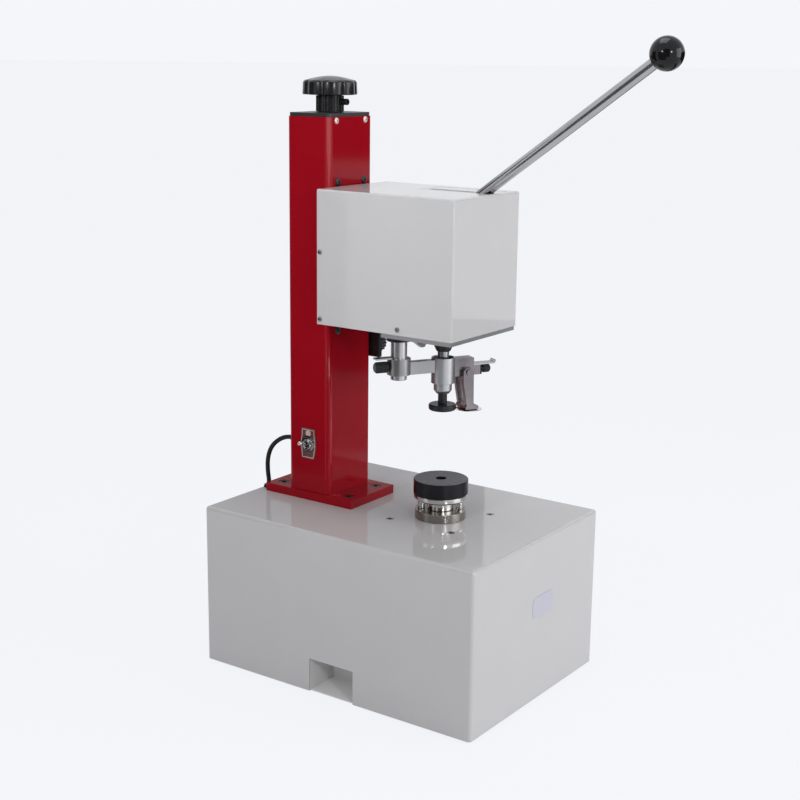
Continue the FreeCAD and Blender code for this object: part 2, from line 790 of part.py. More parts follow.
def build_column():
    """The red column with its foot plate, the parts in it and the knob on top."""
    body = new_body("Column", 0.0, column_y, base_top)
    sketch = sketch_on(body, "XY_Plane")
    rectangle(sketch, -half_column, half_column, -column_depth / 2, column_depth / 2)
    tube = pad(body, sketch, column_top - base_top)
    corners = round_edges(body, tube, is_upright, column_bend)
    foot = sketch_on(body, "XY_Plane")
    rectangle(foot, -foot_plate_width / 2, foot_plate_width / 2, -foot_plate_length / 2, foot_plate_length / 2)
    pad(body, foot, foot_plate_height)
    bore = sketch_on(body, "XY_Plane", column_top - base_top)
    inner_x = half_column - column_wall
    inner_y = column_depth / 2 - column_wall
    rectangle(bore, -inner_x, inner_x, -inner_y, inner_y)
    pocket(body, bore, column_top - foot_plate_top)
    bolts = sketch_on(body, "XY_Plane", foot_plate_height)
    circle(bolts, 0.0, 0.0, 12.0)
    for side in (-1, 1):
        for end in (-1, 1):
            circle(bolts, foot_bolt_span_x / 2 * side, foot_bolt_span_y / 2 * end, foot_bolt_radius + 0.2)
    pocket(body, bolts, foot_plate_height)
    sinks = sketch_on(body, "XY_Plane", foot_plate_height)
    for side in (-1, 1):
        for end in (-1, 1):
            circle(sinks, foot_bolt_span_x / 2 * side, foot_bolt_span_y / 2 * end, foot_bolt_radius + 2.8)
    pocket(body, sinks, foot_plate_height / 2)
    front = sketch_on(body, "XZ_Plane", column_depth / 2)
    rectangle(front, -slot_width / 2, slot_width / 2, nut_bottom - head_travel - base_top - part_gap,
              nut_top + head_travel - base_top + part_gap)
    for side in (-1, 1):
        circle(front, face_screw_span / 2 * side, face_screw_high - base_top, 3.1)
        circle(front, face_screw_span / 2 * side, face_screw_low - base_top, 3.1)
        circle(front, cap_screw_span / 2 * side, column_top - base_top - 4.0, 2.1)
    pocket(body, front, column_wall)
    side_hole = sketch_on(body, "YZ_Plane", -half_column)
    circle(side_hole, 0.0, switch_z - base_top, switch_bush_radius + 0.1)
    pocket(body, side_hole, column_wall, True)
    back = sketch_on(body, "XZ_Plane", -column_depth / 2)
    circle(back, gland_x, switch_z - base_top, grommet_radius)
    pocket(body, back, column_wall, True)
    keep("column", body)

    bolt = socket_screw(6.5, 4.8, 3.9, 14.0)
    spots = [(side, end) for side in (-1, 1) for end in (-1, 1)]
    screw_group("column_bolts", [
        aimed(bolt, Z_AXIS, float(foot_bolt_span_x) / 2 * side, float(column_y + foot_bolt_span_y / 2 * end),
              base_top + foot_plate_height / 2) for side, end in spots])
    flush = countersunk_screw(3.1, 2.0, 3.0, 10.0)
    levels = (float(face_screw_high), float(face_screw_low))
    screw_group("rail_screws", [
        aimed(flush, -Y_AXIS, float(face_screw_span) / 2 * side, column_front, level)
        for side in (-1, 1) for level in levels])

    rail_in = slot_width / 2 + part_gap
    rail_out = rail_in + rail_width
    rail_low = face_screw_low - 8.0
    rail_high = face_screw_high + 8.0
    rail_back = wall_inside + rail_thickness
    rails = [box(rail_in, rail_out, wall_inside, rail_back, rail_low, rail_high),
             box(-rail_out, -rail_in, wall_inside, rail_back, rail_low, rail_high)]
    holes = [cylinder(3.0, rail_thickness + 1.0, face_screw_span / 2 * side, wall_inside, level, "Y")
             for side in (-1, 1) for level in (face_screw_low, face_screw_high)]
    keep("guide_rails", cut(fuse(*rails), *holes))

    edge = column_wall + part_gap / 2
    cap_x = half_column - 1.2
    cap_y = column_depth / 2 - 1.2
    cap = new_body("ColumnCap", 0.0, column_y, column_top)
    sketch = sketch_on(cap, "XY_Plane")
    rectangle(sketch, -cap_x, cap_x, -cap_y, cap_y)
    plate = pad(cap, sketch, cap_thickness)
    round_edges(cap, plate, is_upright, column_bend - 1.2)
    plug = sketch_on(cap, "XY_Plane")
    plug_x = half_column - edge
    plug_y = column_depth / 2 - edge
    rectangle(plug, -plug_x, plug_x, -plug_y, plug_y)
    rectangle(plug, 3.0 - plug_x, plug_x - 3.0, 3.0 - plug_y, plug_y - 3.0)
    pad(cap, plug, cap_plug_depth, True)
    hole = sketch_on(cap, "XY_Plane", cap_thickness)
    circle(hole, 0.0, 0.0, lead_radius + 1.0)
    pocket(cap, hole, cap_thickness)
    taps = sketch_on(cap, "XZ_Plane", plug_y)
    for side in (-1, 1):
        circle(taps, cap_screw_span / 2 * side, -4.0, 2.0)
    pocket(cap, taps, 3.0)
    keep("column_cap", cap)
    button = socket_screw(3.6, 2.2, 2.0, 8.0)
    screw_group("cap_screws", [aimed(button, -Y_AXIS, float(cap_screw_span) / 2 * side, column_front,
                                     column_top - 4.0) for side in (-1, 1)])

    keep("knob_collar", solid(collar_shape(), 0.0, column_y, cap_top))
    keep("star_knob", solid(star_shape(), 0.0, column_y, knob_bottom))
    thread_bottom = nut_bottom - head_travel - 6.0
    turned("lead_screw", [(0.0, thread_bottom), (lead_radius - 1.0, thread_bottom),
                          (lead_radius, thread_bottom + 1.0), (lead_radius, collar_top - 2.0),
                          (lead_radius - 2.0, collar_top - 2.0), (lead_radius - 2.0, knob_bottom + 8.0),
                          (0.0, knob_bottom + 8.0)], 0.0, column_y, 0.0)
    lock_y = column_y - collar_radius
    turned("collar_lock_screw", [(0.0, -5.0), (2.5, -5.0), (2.5, 0.3), (3.5, 0.3), (3.5, 9.0), (3.0, 9.6),
                                 (0.0, 9.6)], 0.0, lock_y, cap_top + collar_height * 0.62, 90.0, X_AXIS)


def collar_shape():
    """The fluted collar that carries the top end of the lead screw."""
    radius = float(collar_radius)
    height = float(collar_height)
    bore = float(lead_radius + running_gap)
    body = Part.makeCylinder(radius, height)
    body = body.cut(Part.makeCylinder(bore, height))
    count = int(float(collar_flutes))
    depth = 0.8
    cutters = []
    for step in range(count):
        angle = 2 * math.pi * step / count
        spot = FreeCAD.Vector((radius + depth) * math.cos(angle), (radius + depth) * math.sin(angle), 3.0)
        if abs(spot.x) < 3.0 and spot.y < 0:
            continue
        cutters.append(Part.makeCylinder(1.7, height - 6.0, spot))
    body = body.cut(Part.makeCompound(cutters))
    lock_height = height * 0.62
    tap = Part.makeCylinder(2.5 + 0.05, radius, FreeCAD.Vector(0, 0, lock_height), -Y_AXIS)
    return body.cut(tap)


def star_shape():
    """The lobed hand knob: a disc scalloped round its rim, with a dome and a hub."""
    radius = float(star_radius)
    height = float(star_height)
    count = int(float(star_lobes))
    scallop = math.pi * radius / count * 0.62
    dome = float(star_dome)
    crown = radius * 0.62
    dome_radius = (crown * crown + dome * dome) / (2 * dome)
    body = Part.makeCylinder(radius, height)
    for step in range(count):
        angle = 2 * math.pi * (step + 0.5) / count
        centre = radius + scallop * 0.45
        spot = FreeCAD.Vector(centre * math.cos(angle), centre * math.sin(angle), 0)
        body = body.cut(Part.makeCylinder(scallop, height, spot))
    upright = [edge for edge in body.Edges if is_upright(edge)]
    body = body.makeFillet(radius * 0.08, upright)
    rims = [edge for edge in body.Edges if edge.BoundBox.ZLength < 1e-6]
    body = body.makeFillet(height * 0.16, rims)
    ball = Part.makeSphere(dome_radius, FreeCAD.Vector(0, 0, height + dome - dome_radius))
    slab = Part.makeCylinder(crown * 1.05, height + dome, FreeCAD.Vector(0, 0, height * 0.5))
    body = body.fuse(ball.common(slab))
    bore = Part.makeCylinder(float(lead_radius) - 2.0, 8.0)
    return body.cut(bore).removeSplitter()


def build_switch():
    """The toggle switch on the column's left side and the lead from it to the base."""
    x = switch_x
    body = new_body("SwitchPlate", x, column_y, switch_z, None)
    sketch = sketch_on(body, "YZ_Plane")
    half_w = switch_plate_width / 2
    half_h = switch_plate_height / 2
    corner = switch_plate_width * 0.24
    outline(sketch, [(corner - half_w, -half_h), (half_w - corner, -half_h), (half_w, corner - half_h),
                     (half_w, half_h - corner), (half_w - corner, half_h), (corner - half_w, half_h),
                     (-half_w, half_h - corner), (-half_w, corner - half_h)])
    pad(body, sketch, 1.0, True)
    hole = sketch_on(body, "YZ_Plane")
    circle(hole, 0.0, 0.0, switch_bush_radius)
    pocket(body, hole, 1.0)
    keep("switch_plate", body)
    hexagon = [hexagon_point(float(switch_nut_radius), step, 0) for step in range(7)]
    nut = Part.Face(Part.makePolygon(hexagon)).extrude(FreeCAD.Vector(0, 0, 2.6))
    nut = nut.cut(Part.makeCylinder(float(switch_bush_radius), 3.0))
    nut_item = solid(aimed(nut, -X_AXIS, float(x) - 1.0, column_y, switch_z))
    place(nut_item, x - 1.0, column_y, switch_z, -90.0, Y_AXIS)
    barrel = cylinder(switch_bush_radius, column_wall + 6.0, x - 6.0, column_y, switch_z, "X")
    case = box(x + column_wall, x + column_wall + 18.0, column_y - 8.0, column_y + 8.0,
               switch_z - 14.0, switch_z + 14.0)
    socket = doc.addObject("Part::Cone", "BatSocket")
    bind(socket, Radius1=1.8, Radius2=5.0, Height=7.0)
    place(socket, x, column_y, switch_z, -90.0, Y_AXIS)
    cavity = doc.addObject("Part::Sphere", "BallSeat")
    bind(cavity, Radius=bat_ball_radius + bat_ball_gap)
    place(cavity, x, column_y, switch_z)
    slack = bat_pin_length + part_gap
    pin_seat = cylinder(bat_pin_radius + running_gap, slack, x, column_y - slack / 2, switch_z, "Y")
    keep("switch_body", cut(fuse(barrel, case, nut_item), socket, cavity, pin_seat))
    angle = 90.0 - float(bat_tilt)
    bat = new_body("SwitchBat", x, column_y, switch_z, as_size(-angle), Y_AXIS)
    profile = sketch_on(bat, "XZ_Plane")
    outline(profile, [(0.0, 0.6), (1.2, 0.6), (1.2, 4.0), (2.6, bat_length - 3.0), (2.9, bat_length - 1.5),
                      (2.2, bat_length), (0.0, bat_length + 0.4)])
    spin = bat.newObject("PartDesign::Revolution", "Spin")
    spin.Profile = profile
    spin.ReferenceAxis = (profile, ["V_Axis"])
    spin.Angle = FULL_TURN
    ball = doc.addObject("Part::Sphere", "BatBall")
    bind(ball, Radius=bat_ball_radius)
    place(ball, x, column_y, switch_z)
    pin = cylinder(bat_pin_radius, bat_pin_length, x, column_y - bat_pin_length / 2, switch_z, "Y")
    keep("switch_bat", fuse(bat, ball, pin))
    bore = float(lead_diameter / 2 + running_gap)
    sleeve = float(grommet_radius)
    lip = sleeve + float(grommet_lip)
    high = float(grommet_height)
    low = -float(base_gauge)
    grommet = turned_shape([(bore, low), (sleeve, low), (sleeve, 0), (lip, 0), (lip - 0.6, high), (bore, high)])
    screw_group("lead_grommets", [aimed(grommet, Y_AXIS, gland_x, column_back, switch_z),
                                  aimed(grommet, Z_AXIS, grommet_x, grommet_y, base_top)])
    keep("switch_lead", solid(lead_shape()))


def lead_route():
    """The points of the switch lead, from its gland to the grommet in the base."""
    start = FreeCAD.Vector(float(gland_x), float(column_back) - float(column_wall), float(switch_z))
    end = FreeCAD.Vector(float(grommet_x), float(grommet_y), float(base_top) - float(base_gauge))
    return [start, start + FreeCAD.Vector(0.0, 14.0, 0.0), start + FreeCAD.Vector(-1.5, 27.5, -5.5),
            start + FreeCAD.Vector(-3.0, 38.5, -16.0), start + FreeCAD.Vector(-3.0, 44.5, -31.0),
            end + FreeCAD.Vector(-1.2, 1.0, 21.0), end + FreeCAD.Vector(0.0, 0.0, 10.5), end]


def lead_shape():
    """A round lead of straight runs joined by arcs, along its route."""
    points = lead_route()
    edges = []
    reached = points[0]
    for before, corner, after in zip(points, points[1:], points[2:]):
        inward = before - corner
        onward = after - corner
        shorter = min(inward.Length, onward.Length) * 0.45
        inward.normalize()
        onward.normalize()
        half_turn = (math.pi - inward.getAngle(onward)) / 2
        radius = shorter / math.tan(half_turn)
        print("lead bend radius %.1f" % radius)
        entry = corner + inward * shorter
        leave = corner + onward * shorter
        bisector = inward + onward
        bisector.normalize()
        centre = corner + bisector * (radius / math.cos(half_turn))
        middle = centre - bisector * radius
        edges.append(Part.LineSegment(reached, entry).toShape())
        edges.append(Part.Arc(entry, middle, leave).toShape())
        reached = leave
    edges.append(Part.LineSegment(reached, points[-1]).toShape())
    path = Part.Wire(edges)
    section = Part.Wire(Part.makeCircle(float(lead_diameter) / 2, points[0], points[1] - points[0]))
    tube = path.makePipeShell([section], True, False)
    expected = math.pi * (float(lead_diameter) / 2) ** 2 * path.Length
    print("lead length %.1f, volume share %.4f" % (path.Length, tube.Volume / expected))
    return tube


def build_head():
    """The head that slides on the column: carriage, floor, brackets and cover."""
    body = new_body("HeadCover", 0.0, 0.0, head_bottom)
    sketch = sketch_on(body, "XY_Plane")
    rectangle(sketch, -half_head, half_head, head_front, head_rear)
    block = pad(body, sketch, head_height)
    front_edge = float(head_front) + 1.0
    corners = round_edges(body, block, lambda edge: is_upright(edge) and edge.BoundBox.YMax < front_edge, cover_bend)
    level = float(head_height) - 1e-4
    rear_limit = float(head_rear) - 1e-4
    rim = round_edges(body, corners, lambda edge: edge.BoundBox.ZMin > level and edge.BoundBox.YMin < rear_limit
                      and edge.Length > 1.0, cover_bend)
    shell = body.newObject("PartDesign::Thickness", "Shell")
    open_faces = []
    for index, face in enumerate(rim.Shape.Faces):
        if face.BoundBox.ZMax < 1e-4 or face.BoundBox.YMin > rear_limit:
            open_faces.append("Face%d" % (index + 1))
    shell.Base = (rim, open_faces)
    shell.Reversed = True
    shell.Join = 0
    bind(shell, Value=cover_gauge)
    doc.recompute()
    top = sketch_on(body, "XY_Plane", head_height)
    rectangle(top, lever_slot_low, lever_slot_high, head_front + lever_slot_setback, pivot_y + 6.0)
    pocket(body, top, cover_gauge)
    for side in (-1, 1):
        drill = sketch_on(body, "YZ_Plane", half_head * side)
        for y, z in cover_screw_places():
            circle(drill, y, z - head_bottom, 2.1)
        pocket(body, drill, cover_gauge, side < 0)
    keep("head_cover", body)
    button = socket_screw(2.9, 2.0, 2.0, 7.0)
    shapes = []
    for side in (-1, 1):
        for y, z in cover_screw_places():
            shapes.append(aimed(button, X_AXIS * side, float(half_head) * side, y, z))
    screw_group("cover_screws", shapes)

    inside = cover_inside - part_gap / 4
    plate_top = head_top - cover_gauge - 2.0
    plate = box(-inside, inside, carriage_front, head_rear, head_bottom + 1.0, plate_top)
    taps = [cylinder(2.0, 8.0, inside - 8.0, y, z, "X") for y, z in cover_screw_places()[:2]]
    taps += [cylinder(2.0, 8.0, -inside, y, z, "X") for y, z in cover_screw_places()[:2]]
    nut_hole = box(-nut_half, nut_half, carriage_front + 3.0, head_rear + 1.0, nut_bottom, nut_top)

    strip_in = face_screw_span / 2 + 5.0
    strips = [box(strip_in, half_column - 2.0, head_rear, column_front - 0.1, head_bottom + 3.0, plate_top - 2.0),
              box(2.0 - half_column, -strip_in, head_rear, column_front - 0.1, head_bottom + 3.0, plate_top - 2.0)]
    keep("carriage_plate", cut(fuse(plate, *strips), nut_hole, *taps))

    rail_back = wall_inside + rail_thickness + part_gap
    stalk = box(-nut_half, nut_half, carriage_front + 3.0, column_y + 14.0, nut_bottom, nut_top)
    ears = box(-nut_half - rail_width, nut_half + rail_width, rail_back, rail_back + 9.0, nut_bottom, nut_top)
    bore = cylinder(lead_radius + running_gap, nut_height + 2.0, 0.0, column_y, nut_bottom - 1.0)
    keep("lift_nut", cut(fuse(stalk, ears), bore))

    lip_top = floor_bottom + floor_lip
    lip_in = inside - 3.0
    deck = box(-inside, inside, head_front + cover_gauge + 0.3, floor_rear, floor_bottom, head_bottom)
    lips = [box(lip_in, inside, head_front + 20.0, floor_rear, head_bottom, lip_top),
            box(-inside, -lip_in, head_front + 20.0, floor_rear, head_bottom, lip_top)]
    y, z = cover_screw_places()[2]
    lip_taps = [cylinder(2.0, 3.0, lip_in, y, z, "X"), cylinder(2.0, 3.0, -inside, y, z, "X")]
    nose_hole = cylinder(nose_radius, floor_thickness, 0.0, spindle_y, floor_bottom)
    post_x, post_y = along_arm(-post_reach)
    post_hole = cylinder(post_radius + 2.0, floor_thickness, post_x, post_y, floor_bottom)
    web = new_body("FloorWeb", 0.0, floor_rear - 1.0, 0.0)
    sketch = sketch_on(web, "XZ_Plane")
    outline(sketch, [(-28.0, floor_bottom), (30.0, floor_bottom), (14.0, floor_bottom - web_drop),
                     (8.0, floor_bottom - web_drop)])
    pad(web, sketch, web_gauge)
    keep("head_floor", cut(fuse(deck, web, *lips), nose_hole, post_hole, *lip_taps))

    bracket_top = head_bottom + bracket_height
    brackets = []
    for low in (-bracket_inside - bracket_gauge, right_bracket):
        side = new_body("ShaftBracket", low, 0.0, 0.0)
        sketch = sketch_on(side, "YZ_Plane")
        front = spindle_y + 4.0
        outline(sketch, [(front, head_bottom), (carriage_front, head_bottom), (carriage_front, bracket_top),
                         (pivot_y - 18.0, bracket_top), (pivot_y - 18.0, pivot_z - 12.0), (front, head_bottom + 40.0)])
        pad(side, sketch, bracket_gauge)
        hole = sketch_on(side, "YZ_Plane")
        circle(hole, pivot_y, pivot_z, shaft_radius + running_gap)
        window = sketch_on(side, "YZ_Plane")
        rectangle(window, pivot_y + 22.0, carriage_front - 16.0, head_bottom + 22.0, bracket_top - 22.0)
        pocket(side, hole, bracket_gauge, True)
        pocket(side, window, bracket_gauge, True)
        brackets.append(side)
    keep("shaft_brackets", group(brackets))

    block_x = quill_radius + guide_wall
    block = box(-block_x, block_x, spindle_y - block_x, spindle_y + block_x, head_bottom,
                head_bottom + guide_block_height)
    nose = cylinder(nose_radius, nose_length, 0.0, spindle_y, head_bottom - nose_length)
    nose_bore = cylinder(neck_radius + running_gap * 2, nose_length + 4.0, 0.0, spindle_y, head_bottom - nose_length)
    quill_bore = cylinder(quill_radius + running_gap, guide_block_height, 0.0, spindle_y, quill_bottom - 1.0)
    keep("quill_guide", cut(fuse(block, nose), nose_bore, quill_bore))
    seal_low = head_bottom - nose_length - seal_height + 2.0
    turned("nose_seal", [(neck_radius + 0.3, seal_low), (neck_radius + 1.4, seal_low),
                         (seal_radius, seal_low + seal_height), (nose_radius, seal_low + seal_height),
                         (nose_radius, seal_low + seal_height - 2.0),
                         (neck_radius + 0.3, seal_low + seal_height - 2.0)], 0.0, spindle_y, 0.0)
    bush_outer = post_radius + post_bush_wall
    turned("post_bush", [(post_radius + running_gap, -post_bush_height), (bush_outer, -post_bush_height),
                         (bush_outer, 0.0), (post_radius + 2.0, 0.0), (post_radius + 2.0, floor_thickness),
                         (post_radius + running_gap, floor_thickness)], post_x, post_y, floor_bottom)
    build_lock()


def cover_screw_places():
    """The (y, z) places of the screws in each side of the cover."""
    rear = head_rear - carriage_thickness / 2
    return [(rear, head_bottom + cover_screw_high), (rear, head_bottom + cover_screw_rise),
            (cover_screw_y, head_bottom + cover_screw_rise)]


def build_lock():
    """The bracket and knob that clamp the head to the column's right side."""
    leg_x = half_column + 1.0
    plate_y = head_rear + lock_plate_gauge
    low = lock_z - lock_width / 2
    leg_end = leg_x + lock_plate_gauge + 2.0
    leg_back = head_rear + lock_leg
    back = box(leg_x, leg_x + 15.0, head_rear, plate_y, lock_z + lock_knob_radius + 4.0, head_bottom + 40.0)
    leg = box(leg_x, leg_end, head_rear, leg_back, low, head_bottom + 23.0)
    toe = box(leg_x, leg_end, carriage_front + 0.5, leg_back, low, floor_bottom - 2.0)
    knob_y = head_rear + lock_setback
    hole = cylinder(lock_screw_radius + running_gap, 12.0, half_column, knob_y, lock_z, "X")
    keep("lock_bracket", cut(fuse(back, leg, toe), hole))
    face = lock_standoff + 3.0
    turned("lock_knob", [(0.0, 0.3), (lock_screw_radius, 0.3), (lock_screw_radius, lock_standoff),
                         (6.0, lock_standoff), (6.0, face), (lock_knob_radius, face + 1.0),
                         (lock_knob_radius, face + lock_knob_length - 2.0),
                         (lock_knob_radius - 2.0, face + lock_knob_length), (0.0, face + lock_knob_length)],
           half_column, knob_y, lock_z, 90.0, Y_AXIS)


def build_lever():
    """The hand lever, its cross shaft and the pinion that drives the quill."""
    shaft_low = -bracket_inside - bracket_gauge - 4.0
    shaft_high = right_bracket + bracket_gauge + 4.0
    keep("cross_shaft", cylinder(shaft_radius, shaft_high - shaft_low, shaft_low, pivot_y, pivot_z, "X"))
    keep("pinion", solid(pinion_shape(), -gear_width / 2, pivot_y, pivot_z))
    half_hub = lever_hub_width / 2
    barrel = cylinder(lever_hub_radius, lever_hub_width, lever_x - half_hub, pivot_y, pivot_z, "X")
    bore = cylinder(shaft_radius, lever_hub_width, lever_x - half_hub, pivot_y, pivot_z, "X")
    seat = cylinder(rod_radius, lever_hub_radius * 2, lever_x, pivot_y, pivot_z)
    place(seat, lever_x, pivot_y, pivot_z, lever_angle, X_AXIS)
    keep("lever_hub", cut(barrel, bore, seat))
    rod_start = shaft_radius + 1.0
    rod_end = lever_reach - ball_radius + ball_seat
    turned("lever_rod", [(0.0, rod_start), (rod_radius, rod_start), (rod_radius, rod_end - 1.0),
                         (rod_radius - 1.0, rod_end), (0.0, rod_end)],
           lever_x, pivot_y, pivot_z, lever_angle, X_AXIS)
    ball = doc.addObject("Part::Sphere", "Ball")
    bind(ball, Radius=ball_radius)
    place(ball, 0.0, 0.0, lever_reach)
    seat = cylinder(rod_radius, ball_seat + 2.0, 0.0, 0.0, rod_end - ball_seat - 2.0)
    flat = cylinder(ball_radius, 4.0, 0.0, 0.0, lever_reach - ball_radius - 2.4)
    keep("lever_ball", place(cut(ball, seat, flat), lever_x, pivot_y, pivot_z, lever_angle, X_AXIS))


def involute(angle):
    """The involute function of a pressure angle in radians."""
    return math.tan(angle) - angle


def pinion_shape():
    """The spur pinion with involute flanks, its axis along +X from x = 0."""
    module = float(gear_module)
    count = int(float(gear_teeth))
    pitch_radius = module * count / 2
    pressure = math.radians(20.0)
    base_radius = pitch_radius * math.cos(pressure)
    tip = pitch_radius + module * 0.95
    root = pitch_radius - module * 1.2
    half_tooth = math.pi * float(tooth_share) / count
    flank = []
    for step in range(5):
        radius = base_radius + (tip - base_radius) * step / 4
        shift = involute(pressure) - involute(math.acos(base_radius / radius))
        flank.append((radius, half_tooth + shift))
    flank.insert(0, (root, flank[0][1]))
    points = []
    for step in range(count):
        centre = math.pi + 2 * math.pi * step / count
        rising = [(radius, centre - half) for radius, half in flank]
        falling = [(radius, centre + half) for radius, half in reversed(flank)]
        for radius, angle in rising + falling:
            points.append(FreeCAD.Vector(0, radius * math.cos(angle), radius * math.sin(angle)))
    face = Part.Face(Part.makePolygon(points + [points[0]]))
    width = float(gear_width)
    body = face.extrude(FreeCAD.Vector(width, 0, 0))
    bore = Part.makeCylinder(float(shaft_radius), width, FreeCAD.Vector(0, 0, 0), X_AXIS)
    return body.cut(bore)


def quill_shape():
    """The quill with its rack and its long hollow neck, one turned and milled piece."""
    low = float(stem_cavity_top)
    shoulder = float(quill_bottom)
    top = shoulder + float(quill_length)
    bore_top = float(cylinder_bottom + stem_flange + 0.2 + press_spring_length)
    bore = float(spring_bore)
    points = [(bore, low), (float(neck_radius), low), (float(neck_radius), shoulder),
              (float(quill_radius) - 1.0, shoulder), (float(quill_radius), shoulder + 1.0),
              (float(quill_radius), top - 1.0), (float(quill_radius) - 1.0, top), (0, top),
              (0, bore_top), (bore, bore_top)]
    body = turned_shape(points)
    module = float(gear_module)
    pitch = math.pi * module
    flank = math.tan(math.radians(20.0))
    line = float(rack_line)
    floor = line - module * 1.25
    crest = float(quill_radius) + 0.5
    contact = float(pivot_z)
    half_width = float(gear_width) / 2 + 1.5
    gaps = []
    count = int(float(rack_teeth))
    for step in range(3 - count, 3):
        centre = contact + step * pitch
        inner = pitch * 0.26 - (line - floor) * flank
        outer = pitch * 0.26 + (crest - line) * flank
        spots = [FreeCAD.Vector(-half_width, floor, centre - inner), FreeCAD.Vector(-half_width, crest, centre - outer),
                 FreeCAD.Vector(-half_width, crest, centre + outer), FreeCAD.Vector(-half_width, floor, centre + inner)]
        face = Part.Face(Part.makePolygon(spots + [spots[0]]))
        gaps.append(face.extrude(FreeCAD.Vector(half_width * 2, 0, 0)))
    flat = Part.makeBox(half_width * 2, module * 2, pitch * count,
                        FreeCAD.Vector(-half_width, line + module * 0.95, contact - pitch * (count - 2.5)))
    return body.cut(Part.makeCompound(gaps)).cut(flat)


def along_arm(reach, side=0.0):
    """The place at a reach along the crossbar and a distance to its side, as sizes."""
    text = arm_angle.text
    turn = math.radians(float(arm_angle))
    cosine = Size("cos(%s * 1 deg)" % text, math.cos(turn))
    sine = Size("sin(%s * 1 deg)" % text, math.sin(turn))
    reach = as_size(reach)
    side = as_size(side)
    return reach * cosine - side * sine, spindle_y + reach * sine + side * cosine


